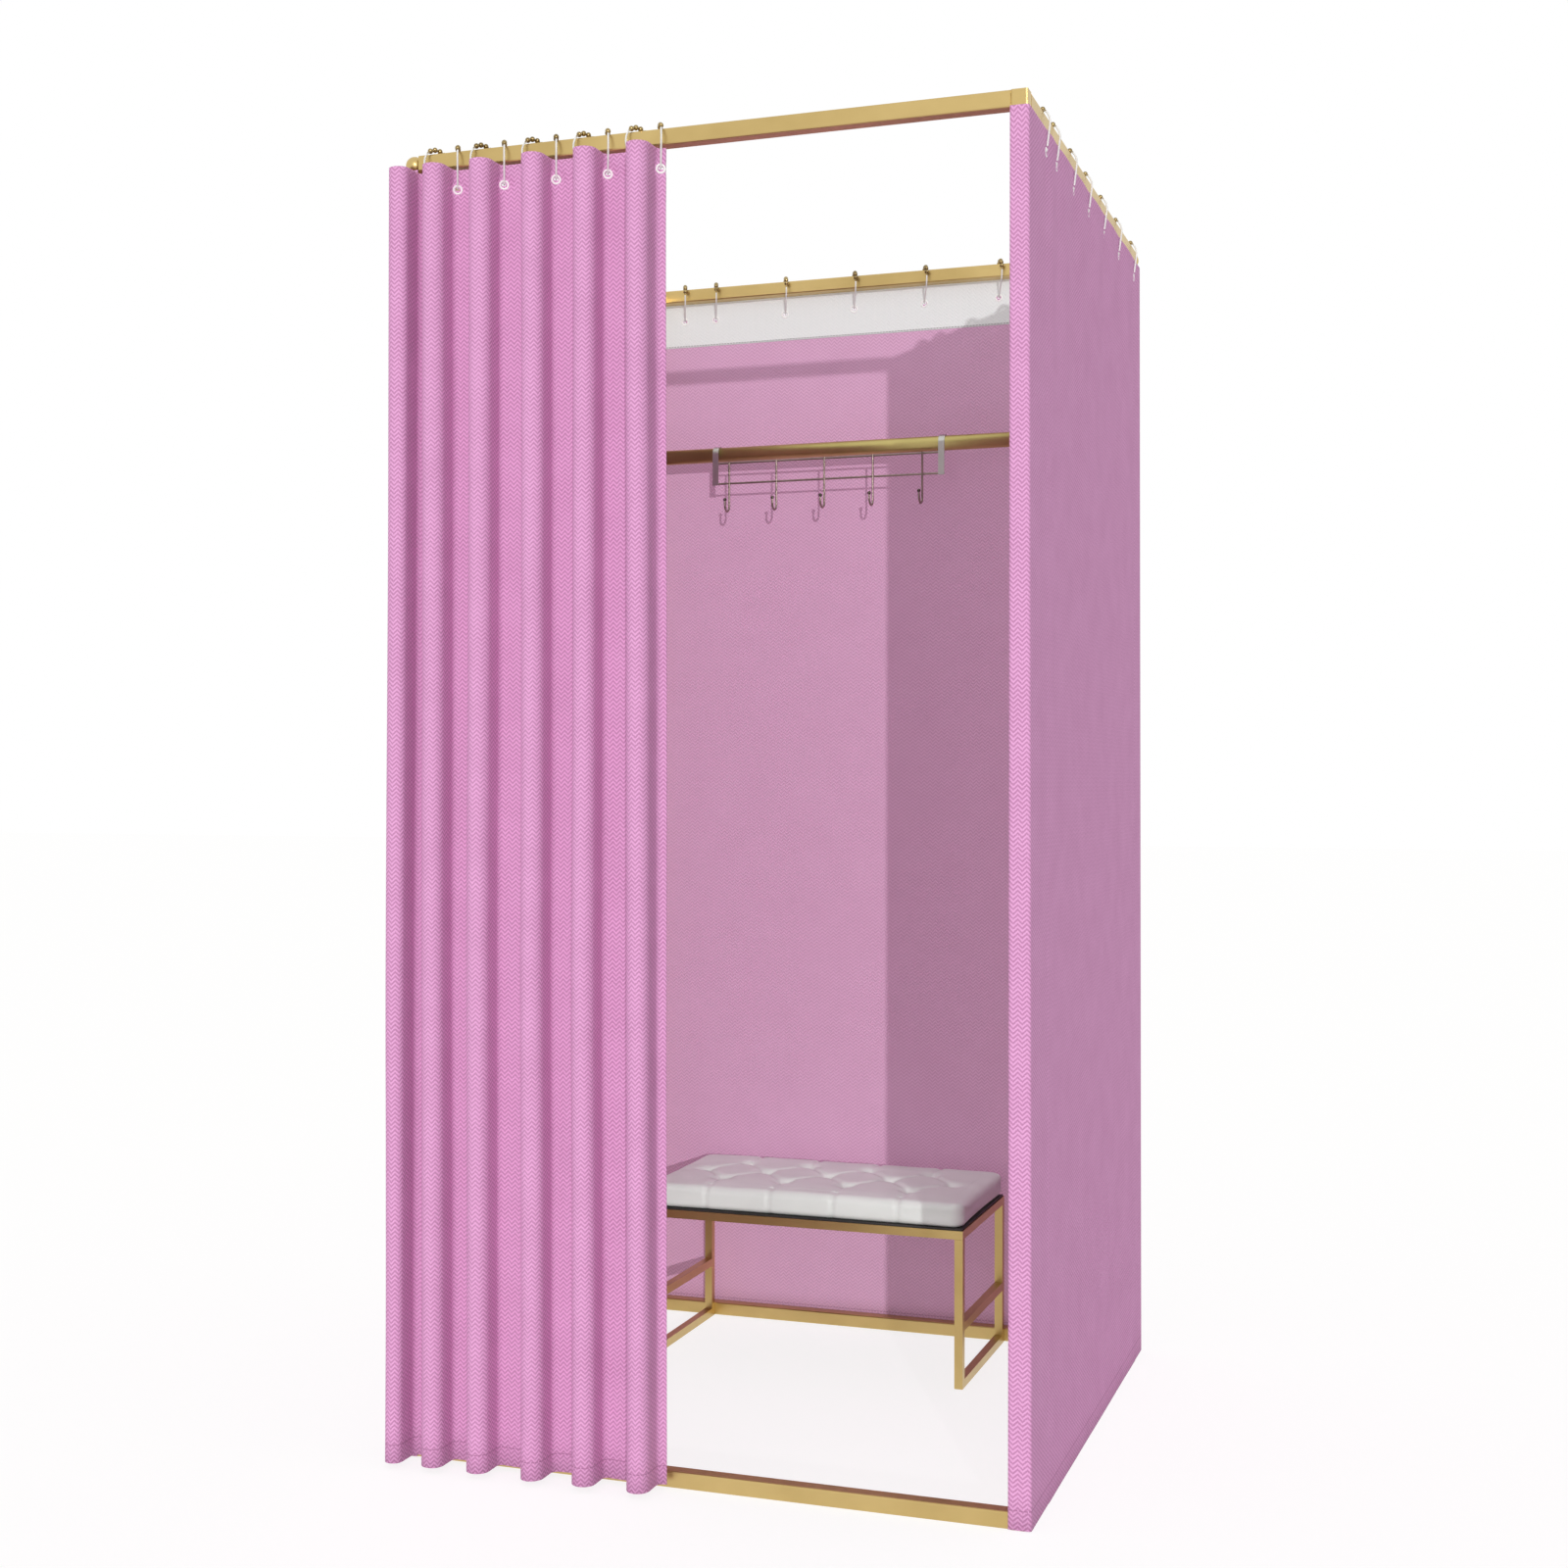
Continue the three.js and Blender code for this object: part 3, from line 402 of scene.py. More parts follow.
# %% Finish by name
finishes = {
    "post_": tube_brass, "corner_": tube_brass, "rail_top_": tube_brass, "rail_base_": tube_brass,
    "rail_bracket_": tube_brass, "garment_rail": rail_brass, "bench_frame_": tube_brass,
    "bench_seat_frame": tube_brass, "bench_board": black_board,
}
for name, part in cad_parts.items():
    finish = next((m for start, m in finishes.items() if name.startswith(start)), satin_steel)
    part.data.materials.clear()
    part.data.materials.append(finish)
print(len(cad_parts), "frame parts dressed")

# %% [markdown]
# ## One way to finish every new piece
# Each piece is drawn as a bmesh and turned into an object at the origin. It is then tied to
# the body that it moves with, and the frame parts that it stands for are hidden.

# %% Finish a piece
def piece(name, bm, materials, body, stands_for=(), sharp=40, merge=True):
    if merge:
        bmesh.ops.remove_doubles(bm, verts=bm.verts, dist=1e-6)
        bmesh.ops.recalc_face_normals(bm, faces=bm.faces)
    mesh = bpy.data.meshes.new(name)
    bm.to_mesh(mesh)
    bm.free()
    for material in materials:
        mesh.materials.append(material)
    mesh.shade_smooth()
    mesh.set_sharp_from_angle(angle=math.radians(sharp))
    obj = bpy.data.objects.new(name, mesh)
    bpy.context.scene.collection.objects.link(obj)
    if body:
        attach(obj, body)
    if stands_for:
        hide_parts(*stands_for)
    return obj


# %% [markdown]
# ## Bent wire
# Hooks and racks are wire bent on a former. The same happens here: a ring of edges is pushed
# straight ahead by extruding it, and swung round a centre by spinning it. The ends are closed.

# %% Bend a wire
def wire_start(bm, radius, place, sides):
    ring = bmesh.ops.create_circle(bm, segments=sides, radius=radius, cap_ends=False, matrix=place)
    return list({edge for vert in ring["verts"] for edge in vert.link_edges})


def wire_run(bm, edges, move):
    made = bmesh.ops.extrude_edge_only(bm, edges=edges)["geom"]
    verts = [g for g in made if isinstance(g, bmesh.types.BMVert)]
    bmesh.ops.translate(bm, verts=verts, vec=move)
    new_edges = (g for g in made if isinstance(g, bmesh.types.BMEdge))
    return [edge for edge in new_edges if all(vert in verts for vert in edge.verts)]


def wire_bend(bm, edges, centre, axis, angle, steps):
    made = bmesh.ops.spin(bm, geom=edges, cent=centre, axis=axis, angle=angle, steps=steps)
    return [g for g in made["geom_last"] if isinstance(g, bmesh.types.BMEdge)]


def wire_close(bm, edges):
    bmesh.ops.contextual_create(bm, geom=edges)


def tint(made, index):
    """Give the faces round some new points another of the piece's materials."""
    for face in {face for vert in made["verts"] for face in vert.link_faces}:
        face.material_index = index


# %% [markdown]
# ## Roller hooks
# Each hook is a loop of white wire with five brass rollers over the top, so that it runs
# easily along the rail. The loop narrows to a small foot that carries the curtain's eyelet.
# All hooks share one shape. It is turned to match its frame part and moved into that
# part's box, so it rests on the rail in the same way.

# %% Hook sizes
wire_radius, roller_radius, roller_half = 0.0015, 0.0043, 0.0041
hook_radius, hook_drop, foot_radius = 0.024, 0.044, 0.004
roller_count, roller_pitch = 5, math.radians(22.5)
hook_gap = 0.004
hook_counts = {"front": 10, "rear": 7, "left": 7, "right": 7}
front_reach, panel_offset = 0.010, 0.0138
fold_turn, side_turn, rear_turn = (math.radians(a) for a in (26, 28, 22))
eyelet_hole, eyelet_ring, eyelet_play = 0.0045, 0.0018, 0.0015
AXIS_X, AXIS_Z = Vector((1, 0, 0)), Vector((0, 0, 1))


def hook_names(side):
    return [f"hook_{side}_{index + 1}" for index in range(hook_counts[side])]


print(sum(hook_counts.values()), "hooks, each", 2 * hook_radius, "m across")

# %% Draw one hook
def hook_shape():
    bm = bmesh.new()
    foot = Vector((0, 0, foot_radius - hook_drop))
    lean = math.asin((hook_radius - foot_radius) / -foot.z)
    leg = Vector((0, math.sin(lean), math.cos(lean)))
    out = Vector((0, math.cos(lean), -math.sin(lean)))
    leg_length = -foot.z * math.cos(lean)
    start = Matrix.Translation(foot + out * foot_radius + leg * hook_gap)
    first = wire_start(bm, wire_radius, start @ Matrix.Rotation(-lean, 4, "X"), sides=8)
    edges = wire_run(bm, first, leg * (leg_length - hook_gap))
    edges = wire_bend(bm, edges, (0, 0, 0), AXIS_X, math.pi + 2 * lean, steps=26)
    # The wire over the top takes the dark brass finish, painted shade that darkens the small gaps
    # between the rollers.
    for face in bm.faces:
        if face.calc_center_median().z > hook_radius / 2:
            face.material_index = 1
    edges = wire_run(bm, edges, Vector((0, leg.y, -leg.z)) * leg_length)
    edges = wire_bend(bm, edges, foot, AXIS_X, math.pi - 2 * lean, steps=8)
    wire_close(bm, first)
    wire_close(bm, edges)
    for index in range(roller_count):
        angle = math.pi / 2 + (index - (roller_count - 1) / 2) * roller_pitch
        place = (
            Matrix.Rotation(angle, 4, "X")
            @ Matrix.Translation((0, hook_radius, 0))
            @ Matrix.Diagonal((1, 1, roller_half / roller_radius, 1))
        )
        roller = bmesh.ops.create_uvsphere(
            bm, u_segments=12, v_segments=8, radius=roller_radius, matrix=place,
        )
        tint(roller, 1)
    return bm


# %% [markdown]
# ## Eyelets
# An eyelet is a small ring pressed through the cloth. A circle spun right round makes it.
# The ring moves with its hook.

# %% Hang one hook with its eyelet
def eyelet(bm, centre, normal):
    turn = AXIS_Z.rotation_difference(normal).to_matrix().to_4x4()
    out = Matrix.Translation((eyelet_hole + eyelet_ring, 0, 0))
    across = Matrix.Translation(centre) @ turn @ out @ Matrix.Rotation(math.pi / 2, 4, "X")
    edges = wire_start(bm, eyelet_ring, across, sides=10)
    bmesh.ops.spin(
        bm, geom=edges, cent=centre, axis=normal, angle=2 * math.pi, steps=24, use_merge=True,
    )


eyelet_places, eyelet_normals = {}, {}


def hang_hook(name, body, tilt, turn, normal):
    turned = Matrix.Rotation(turn, 4, "Z") @ Matrix.Rotation(tilt, 4, "X")
    bm = hook_shape()
    bmesh.ops.transform(bm, matrix=turned, verts=bm.verts)
    low, high = (
        Vector([pick(vert.co[i] for vert in bm.verts) for i in range(3)]) for pick in (min, max)
    )
    box_low, box_high = (Vector(corner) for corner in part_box(name))
    move = (box_low + box_high - low - high) / 2
    move.z = box_high.z - high.z
    bmesh.ops.translate(bm, verts=bm.verts, vec=move)
    piece(f"{name}_loop", bm, [white_coat, bead_brass], body, [name], sharp=50)
    foot = move + turned @ Vector((0, 0, -hook_drop))
    centre = foot + Vector((0, 0, wire_radius + eyelet_play - eyelet_hole))
    eyelet_places[name], eyelet_normals[name] = centre, normal
    ring = bmesh.new()
    eyelet(ring, centre, normal)
    piece(f"{name}_eyelet", ring, [eyelet_coat], body, sharp=60)


# %% Hang them all
front_tilt = -math.asin(front_reach / hook_drop)
side_tilt = math.asin(panel_offset / math.cos(side_turn) / hook_drop)
rear_tilt = math.asin(panel_offset / math.cos(rear_turn) / hook_drop)
lead_index = hook_counts["front"]
for index in range(1, lead_index + 1):
    turn = -fold_turn if index % 2 else fold_turn
    body = {1: "frame", lead_index: "lead_hook"}.get(index, f"follow_hook_{index}")
    normal = Vector((-math.sin(turn), math.cos(turn), 0))
    hang_hook(f"hook_front_{index}", body, front_tilt, turn, normal)
for index in range(1, hook_counts["rear"] + 1):
    hang_hook(f"hook_rear_{index}", "frame", rear_tilt, rear_turn, Vector((0, 1, 0)))
    for side, sign in (("left", -1), ("right", 1)):
        turn = -sign * (math.pi / 2 + side_turn)
        hang_hook(f"hook_{side}_{index}", "frame", side_tilt, turn, Vector((1, 0, 0)))
print(len(eyelet_places), "hooks hung")

# %% [markdown]
# ## From flat cloth to hung cloth
# A curtain starts as a flat rectangle. Here too: a flat grid gets its UV map in metres first,
# and every point is then carried to its place on the hung cloth. The rows lie closer together
# near the top, where a few faces are left out at each eyelet, to let the wire of the hook
# through. Solidify gives the cloth its body, and the second finish to the side that faces away.

# %% Walk along a line in plan
def walk(points):
    lengths = [0.0]
    for a, b in zip(points, points[1:]):
        lengths.append(lengths[-1] + (b - a).length)
    total = lengths[-1]

    def at(share):
        goal = min(max(share, 0.0), 1.0) * total
        low, high = 0, len(lengths) - 1
        while high - low > 1:
            middle = (low + high) // 2
            low, high = (middle, high) if lengths[middle] <= goal else (low, middle)
        span = max(lengths[high] - lengths[low], 1e-9)
        return points[low].lerp(points[high], (goal - lengths[low]) / span)

    return total, at


def arc(points, centre, radius, start, end, steps):
    for step in range(steps + 1):
        angle = start + (end - start) * step / steps
        x = centre[0] + radius * math.cos(angle)
        y = centre[1] + radius * math.sin(angle)
        points.append(Vector((x, y)))


# %% Hang a sheet
fine_depth, fine_row, coarse_row, tape_rows = 0.048, 0.004, 0.05, 20
wire_hole, wire_pass, tape_hole = 0.0034, Vector((0, 0, 0.0015)), 0.0042


def sheet_rows(height):
    """How far below the top edge each row of points hangs."""
    if height < 2 * fine_depth:
        return [height * i / tape_rows for i in range(tape_rows + 1)]
    fine = round(fine_depth / fine_row)
    coarse = max(round((height - fine_depth) / coarse_row), 1)
    rows = [fine_row * i for i in range(fine)]
    return rows + [fine_depth + (height - fine_depth) * i / coarse for i in range(coarse + 1)]


def hang_sheet(name, size, place, body, materials, thickness, holes, replaced=(), columns=250):
    """Hang a flat sheet. `place` carries a share of its width and a drop to a point in space."""
    width, height = size
    drops = sheet_rows(height)
    rows = len(drops) - 1
    bm = bmesh.new()
    cloth_map = bm.loops.layers.uv.new("Cloth")
    bmesh.ops.create_grid(bm, x_segments=columns, y_segments=rows, size=0.5)
    flat = {v: (v.co.x + 0.5, drops[round((0.5 - v.co.y) * rows)]) for v in bm.verts}
    for face in bm.faces:
        for loop in face.loops:
            share, drop = flat[loop.vert]
            loop[cloth_map].uv = (share * width, height - drop)
    for vert, (share, drop) in flat.items():
        vert.co = place(share, drop)
    opening = tape_hole if white_tape in materials else 0

    def at_hook(middle):
        from_holes = [middle - hole for hole in holes]
        return any(a.length < opening or (a - wire_pass).length < wire_hole for a in from_holes)

    cut_away = [face for face in bm.faces if at_hook(face.calc_center_median())]
    bmesh.ops.delete(bm, geom=cut_away, context="FACES")
    obj = piece(name, bm, materials, body, replaced, sharp=60, merge=False)
    body_modifier = obj.modifiers.new("body", "SOLIDIFY")
    body_modifier.thickness = thickness
    body_modifier.offset = 0
    body_modifier.material_offset = len(materials) - 1
    print(name, f"{width:.3f} by {height:.3f} m", len(cut_away), "faces cut")
    return obj


# %% [markdown]
# ## The fixed curtains
# The side curtains are pulled flat over two posts, and their margins turn in round them.
# Real cloth is never quite flat, so it swells a little between the hooks, most at the top.
# The top edge stands a few millimetres higher than the solids', which keeps light from showing
# under the rail. The curtains lean out towards the floor. The rear one hangs between the sides.

# %% Frame sizes read from the posts
post = [Vector(c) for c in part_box("post_front_left")]
rear_post = [Vector(c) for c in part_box("post_rear_right")]
room_left, room_front = post[0].x, post[0].y
room_right, room_rear = rear_post[1].x, rear_post[1].y
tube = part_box("rail_top_left")[1][0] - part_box("rail_top_left")[0][0]
cloth_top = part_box("curtain_rear")[1][2]
panel_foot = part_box("curtain_right")[0][2]
panel_drop = cloth_top - panel_foot
seam, cloth_body, tape_body, tape_depth, panel_lean = 0.0003, 0.0013, 0.0004, 0.082, 0.006
tape_lift, tape_gap = 0.0002, 0.002
cloth_face = seam + tape_body + tape_lift + cloth_body / 2
tape_face = seam + tape_body / 2
print("room", round(room_right - room_left, 3), "by", round(room_rear - room_front, 3), "m")

# %% Swell and sag
top_rise, rise_depth, top_sag, sag_fade = 0.0055, 0.04, 0.0007, 0.05
side_swell, rear_swell, swell_fade = 0.0016, 0.0002, 0.45
ripple_across, ripple_down, ripple_share = 5.0, 0.9, 0.6


def drift(x, y, z):
    """A slow noise. Each use reads it at another place, so that no two look alike."""
    return noise.noise(Vector((x, y, z)))


def softness(along, drop, places, depth):
    """How far a flat curtain swells out, and how far its edge sags, between two eyelets."""
    rise = top_rise * max(1 - drop / rise_depth, 0)
    before = max((p for p in places if p <= along), default=None)
    after = min((p for p in places if p > along), default=None)
    if before is None or after is None:
        return 0.0, -rise
    share = (along - before) / (after - before)
    swell = math.sin(math.pi * share) ** 2
    fade = math.exp(-drop / swell_fade)
    ripple = drift(along * ripple_across, drop * ripple_down, 3.0) * 0.5 + 0.5
    outward = swell * depth * fade + ripple * depth * ripple_share
    return outward, swell * top_sag * math.exp(-drop / sag_fade) - rise


# %% Side curtains
margin_gap, rear_margin, side_bend, bend_steps = 0.0005, 0.0023, 0.003, 5
side_tape_width = room_rear - room_front - 2 * tube - 2 * tape_gap


def side_line(sign, offset):
    """The curtain's line in plan: round the front post, along the side and round the rear post."""
    inner = sign * (room_right - tube - margin_gap)
    bend_x = sign * (room_right + offset) - sign * side_bend
    front, rear = room_front - offset, room_rear + rear_margin + offset
    quarter = sign * math.pi / 2
    start = -math.pi / 2
    side, end = start + quarter, start + 2 * quarter
    points = [Vector((inner, front))]
    arc(points, (bend_x, front + side_bend), side_bend, start, side, bend_steps)
    arc(points, (bend_x, rear - side_bend), side_bend, side, end, bend_steps)
    points.append(Vector((inner, rear)))
    return points


def hang_side(side, sign):
    holes = [eyelet_places[name] for name in hook_names(side)]
    places = sorted(hole.y for hole in holes)
    width, at = walk(side_line(sign, cloth_face))

    def curtain_place(share, drop):
        spot = at(share)
        swell, sag = softness(spot.y, drop, places, side_swell)
        lean = panel_lean * drop / panel_drop
        turned_in = min((abs(spot.x) - room_right + tube) / tube, 1)
        x = spot.x + sign * (lean * turned_in + swell)
        return Vector((x, spot.y, cloth_top - drop - sag))

    def tape_place(share, drop):
        y = room_front + tube + tape_gap + share * side_tape_width
        swell, sag = softness(y, drop, places, side_swell)
        x = sign * (room_right + tape_face + swell + panel_lean * drop / panel_drop)
        return Vector((x, y, cloth_top - drop - sag))

    curtain = hang_sheet(
        f"{side}_curtain", (width, panel_drop), curtain_place, "frame",
        [pink_weave, weave_back_painted_light][::sign], cloth_body, holes, [f"curtain_{side}"], columns=300,
    )
    tape = hang_sheet(
        f"{side}_heading_tape", (side_tape_width, tape_depth), tape_place, "frame",
        [white_tape], tape_body, holes,
    )


hang_side("left", -1)
hang_side("right", 1)

# %% Rear curtain
rear_holes = [eyelet_places[name] for name in hook_names("rear")]
rear_places = sorted(hole.x for hole in rear_holes)
rear_width = room_right - room_left
rear_tape_left = room_left + tube + tape_gap
rear_tape_width = room_right - room_left - 2 * tube - 2 * tape_gap


def rear_point(x, drop, face):
    swell, sag = softness(x, drop, rear_places, rear_swell)
    return Vector((x, room_rear + face + swell, cloth_top - drop - sag))


def rear_curtain_place(share, drop):
    return rear_point(room_left + share * rear_width, drop, cloth_face)


def rear_tape_place(share, drop):
    return rear_point(rear_tape_left + share * rear_tape_width, drop, tape_face)


rear_curtain = hang_sheet(
    "rear_curtain", (rear_width, panel_drop), rear_curtain_place, "frame",
    [weave_back_painted_light, pink_weave], cloth_body, rear_holes, ["curtain_rear"], columns=260,
)
rear_tape = hang_sheet(
    "rear_heading_tape", (rear_tape_width, tape_depth), rear_tape_place, "frame",
    [white_tape], tape_body, rear_holes,
)

# %% [markdown]
# ## The gathered doorway curtain
# The doorway curtain is pushed to the left in five round folds, with its edge on the post.
# In plan it is a line of arcs: a crest for each fold, and small corners into the flat valleys.
# The folds drift to the right on their way down, and a slow noise keeps them from looking
# machined.

# %% Fold sizes
fold_count, fold_pitch, fold_depth = 5, 0.086, 0.052
crest_radius, corner_radius = 0.0175, 0.010
edge_clearance, lead_margin, hem_forward = 0.0008, 0.004, 0.018
fold_top_shares = [0.06, 0, 0.03, 0.04, 0.05]
fold_hem_shares = [0.17, 0.07, 0.14, 0.13, 0.17]
front_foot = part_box("curtain_front")[0][2]
front_drop = cloth_top - front_foot
cad_cloth = 0.002
rail_front_line = room_front + tube / 2
hook_line = rail_front_line - front_reach * math.cos(fold_turn)
valley_line = hook_line + corner_radius * (1 - math.cos(fold_turn))
crest_line = valley_line - fold_depth
edge_flank = room_left + tube + edge_clearance + cad_cloth / 2
corner_steps, edge_steps, crest_steps = 7, 12, 14
print("folds from", round(crest_line, 3), "to", round(valley_line, 3), "m")


def fold_line(drop_share):
    """The doorway curtain's line in plan, at a share of the way down to the hem."""
    corner_line, corner = valley_line - corner_radius, crest_radius + corner_radius
    edge_radius = (edge_flank - room_left) / 2
    edge_centre = edge_flank - edge_radius
    points = [Vector((edge_centre - edge_radius, room_front - 1.5 * cad_cloth - 2 * seam))]
    crest = (edge_centre, crest_line + edge_radius)
    arc(points, crest, edge_radius, math.pi, 2 * math.pi, edge_steps)
    valley = (edge_flank + corner_radius, corner_line)
    arc(points, valley, corner_radius, math.pi, math.pi / 2, corner_steps)
    for index in range(fold_count):
        sideways = fold_top_shares[index] * (1 - drop_share) + fold_hem_shares[index] * drop_share
        flank = edge_flank + 2 * corner_radius + crest_radius + seam
        centre = flank + (index + sideways) * fold_pitch
        crest = (centre, crest_line + crest_radius)
        arc(points, (centre - corner, corner_line), corner_radius, math.pi / 2, 0, corner_steps)
        arc(points, crest, crest_radius, math.pi, 2 * math.pi, crest_steps)
        valley = (centre + corner, corner_line)
        arc(points, valley, corner_radius, math.pi, math.pi / 2, corner_steps)
    points.append(points[-1] + Vector((lead_margin, 0)))
    return points


# %% Carry the cloth to the folds
walked = {}


def fold_walk(drop):
    key = round(drop, 5)
    if key not in walked:
        walked[key] = walk(fold_line(drop / front_drop))
    return walked[key]


front_width = fold_walk(0)[0]
step_share, soft_depth = 0.002, 0.25
wander_depth, wander_across, wander_down = 0.0045, 6.0, 1.3
wander_sideways, wander_forward = 0.6, 0.5
crease_depth, crease_across, crease_down = 0.0020, 26.0, 2.6
hem_wave, hem_across = 0.003, 9.0
edge_reach, edge_lift = 0.03, 0.005
press_reach, press_fade = 0.019, 0.009
print("doorway curtain", round(front_width, 3), "m wide when flat")


def pressed_flat(point, behind):
    """The eyelets are stiff, so the cloth close to one lies in its plane."""
    for name in hook_names("front"):
        centre, normal = eyelet_places[name], eyelet_normals[name]
        away = point - centre
        share = min(max((press_reach - away.length) / press_fade, 0), 1)
        point = point - normal * (away.dot(normal) - behind) * share * share * (3 - 2 * share)
    return point


def front_place(share, drop, behind=0.0):
    at = fold_walk(drop)[1]
    spot = at(share)
    way = (at(min(share + step_share, 1)) - at(max(share - step_share, 0))).normalized()
    normal = Vector((way.y, -way.x))
    life = min(drop / soft_depth, 1.0)
    wander = drift(spot.x * wander_across, 0.0, drop * wander_down) * wander_depth * life
    crease = drift(spot.x * crease_across, 7.0, drop * crease_down) * crease_depth * life
    forward = hem_forward * drop / front_drop
    hem = drift(spot.x * hem_across, 2.0, 0.0) * hem_wave * (drop / front_drop)
    edge = max(1 - (spot.x - room_left) / edge_reach, 0) * edge_lift * (1 - drop / front_drop)
    x = spot.x + wander * wander_sideways - normal.x * behind - edge
    y = spot.y - forward - normal.y * behind + normal.y * crease - abs(wander) * wander_forward
    return pressed_flat(Vector((x, y, cloth_top - drop + hem)), behind)


# %% Hang the folds
front_body, tape_behind, tape_start, tape_span = 0.0012, 0.0009, 0.085, 0.915


def front_tape_place(share, drop):
    return front_place(tape_start + share * tape_span, drop, tape_behind)


front_holes = [eyelet_places[name] for name in hook_names("front")]
front_curtain = hang_sheet(
    "front_curtain", (front_width, front_drop), front_place, None,
    [pink_weave, weave_back_painted_light], front_body, front_holes, ["curtain_front"], columns=420,
)
front_tape = hang_sheet(
    "front_heading_tape", (front_width * tape_span, tape_depth), front_tape_place, None,
    [white_tape], tape_body, front_holes, columns=380,
)
for sheet in (front_curtain, front_tape):
    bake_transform(sheet)

# %% [markdown]
# ## Round brass: rail and balls
# Round metal shows every flat facet in its highlight, so the garment rail and the corner balls
# are made again with many more sides. The rail is an open tube: a circle pushed along
# its length, with Solidify for the wall. Each ball carries three square plugs, which fill the
# ends of the two top rails and the post.

# %% Garment rail
rail_low, rail_high = (Vector(c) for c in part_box("garment_rail"))
rail_radius, rail_wall = (rail_high.z - rail_low.z) / 2, 0.0015
rail_centre = (rail_low + rail_high) / 2
bm = bmesh.new()
rail_end = Matrix.Translation((rail_low.x, rail_centre.y, rail_centre.z))
rail_start = rail_end @ Matrix.Rotation(math.pi / 2, 4, "Y")
edges = wire_start(bm, rail_radius, rail_start, sides=64)
wire_run(bm, edges, Vector((rail_high.x - rail_low.x, 0, 0)))
garment_tube = piece("garment_tube", bm, [rail_brass], "frame", ["garment_rail"])
wall = garment_tube.modifiers.new("wall", "SOLIDIFY")
wall.thickness = rail_wall
wall.offset = -1
print("garment tube", round(2 * rail_radius, 4), "m thick")

# %% Corner balls
ball_radius, plug_side, plug_length = 0.0145, 0.0214, 0.030
ball_height = (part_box("rail_top_left")[0][2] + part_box("rail_top_left")[1][2]) / 2
for place, x, y in (
    ("front_left", room_left + tube / 2, room_front + tube / 2),
    ("rear_left", room_left + tube / 2, room_rear - tube / 2),
    ("rear_right", room_right - tube / 2, room_rear - tube / 2),
):
    centre = Vector((x, y, ball_height))
    inward_x, inward_y = -math.copysign(1, x), -math.copysign(1, y)
    bm = bmesh.new()
    bmesh.ops.create_uvsphere(
        bm, u_segments=40, v_segments=24, radius=ball_radius, matrix=Matrix.Translation(centre),
    )
    for way in (Vector((inward_x, 0, 0)), Vector((0, inward_y, 0)), -AXIS_Z):
        middle = Matrix.Translation(centre + way * (tube + plug_length) / 2)
        sizes = Matrix.Diagonal([plug_length if way[i] else plug_side for i in range(3)] + [1])
        bmesh.ops.create_cube(bm, size=1, matrix=middle @ sizes)
    piece(f"corner_ball_{place}", bm, [tube_brass], "frame", [f"corner_{place}"])
print("3 corner balls at", round(ball_height, 3), "m")

# %% [markdown]
# ## Hook rack
# Two flat straps hang over the garment rail. Between them run two wires, and five hooks
# with small ball ends are welded to the wires. The straps are a flat strip pushed up, bent over
# the rail and let down again. Bending keeps a strip equally thick all the way round.

# %% Rack sizes
rack_low, rack_high = (Vector(c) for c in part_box("hook_rack"))
strap_width, strap_body, strap_leg, strap_wrap = 0.012, 0.002, 0.062, math.radians(35)
rack_wire, weld, upper_wire, lower_wire = 0.004, 0.0012, 0.019, 0.059
rack_hook_offset, rack_pitch, rack_hook_drop = -0.004, 0.098, 0.104
curl_radius, tip_length, tip_ball = 0.012, 0.010, 0.0035
rack_clearance, rack_hooks = 0.0003, 5
rack_middle = (rack_low.x + rack_high.x) / 2
strap_inner = rail_radius + rack_clearance
wire_line = rail_centre.y - strap_inner + rack_wire / 2 - weld
hook_plane = wire_line - rack_wire + weld

# %% Draw the rack
def strap(bm, x):
    front = rail_centre.y - strap_inner - strap_body
    low = Vector((x - strap_width / 2, front, rail_centre.z - strap_leg))
    steps = ((0, 0, 0), (strap_width, 0, 0), (strap_width, strap_body, 0), (0, strap_body, 0))
    face = bm.faces.new([bm.verts.new(low + Vector(step)) for step in steps])
    edges = wire_run(bm, list(face.edges), Vector((0, 0, strap_leg)))
    turn = -(math.pi + strap_wrap)
    edges = wire_bend(bm, edges, (x, rail_centre.y, rail_centre.z), AXIS_X, turn, steps=36)
    wire_close(bm, edges)


def rod(bm, x0, x1, y, z, radius):
    place = Matrix.Translation((x0, y, z)) @ Matrix.Rotation(math.pi / 2, 4, "Y")
    first = wire_start(bm, radius, place, sides=16)
    last = wire_run(bm, first, Vector((x1 - x0, 0, 0)))
    wire_close(bm, first)
    wire_close(bm, last)


def rack_hook(bm, x):
    top = Vector((x, hook_plane, rail_centre.z - upper_wire + rack_wire / 2))
    curl = Vector((x, hook_plane - curl_radius, rail_centre.z - rack_hook_drop))
    first = wire_start(bm, rack_wire / 2, Matrix.Translation(top), sides=14)
    edges = wire_run(bm, first, Vector((0, 0, curl.z - top.z)))
    edges = wire_bend(bm, edges, curl, AXIS_X, -math.pi, steps=18)
    edges = wire_run(bm, edges, Vector((0, 0, tip_length)))
    wire_close(bm, first)
    wire_close(bm, edges)
    ball = Matrix.Translation((x, hook_plane - 2 * curl_radius, curl.z + tip_length))
    tip = bmesh.ops.create_uvsphere(bm, u_segments=20, v_segments=12, radius=tip_ball, matrix=ball)
    tint(tip, 2)


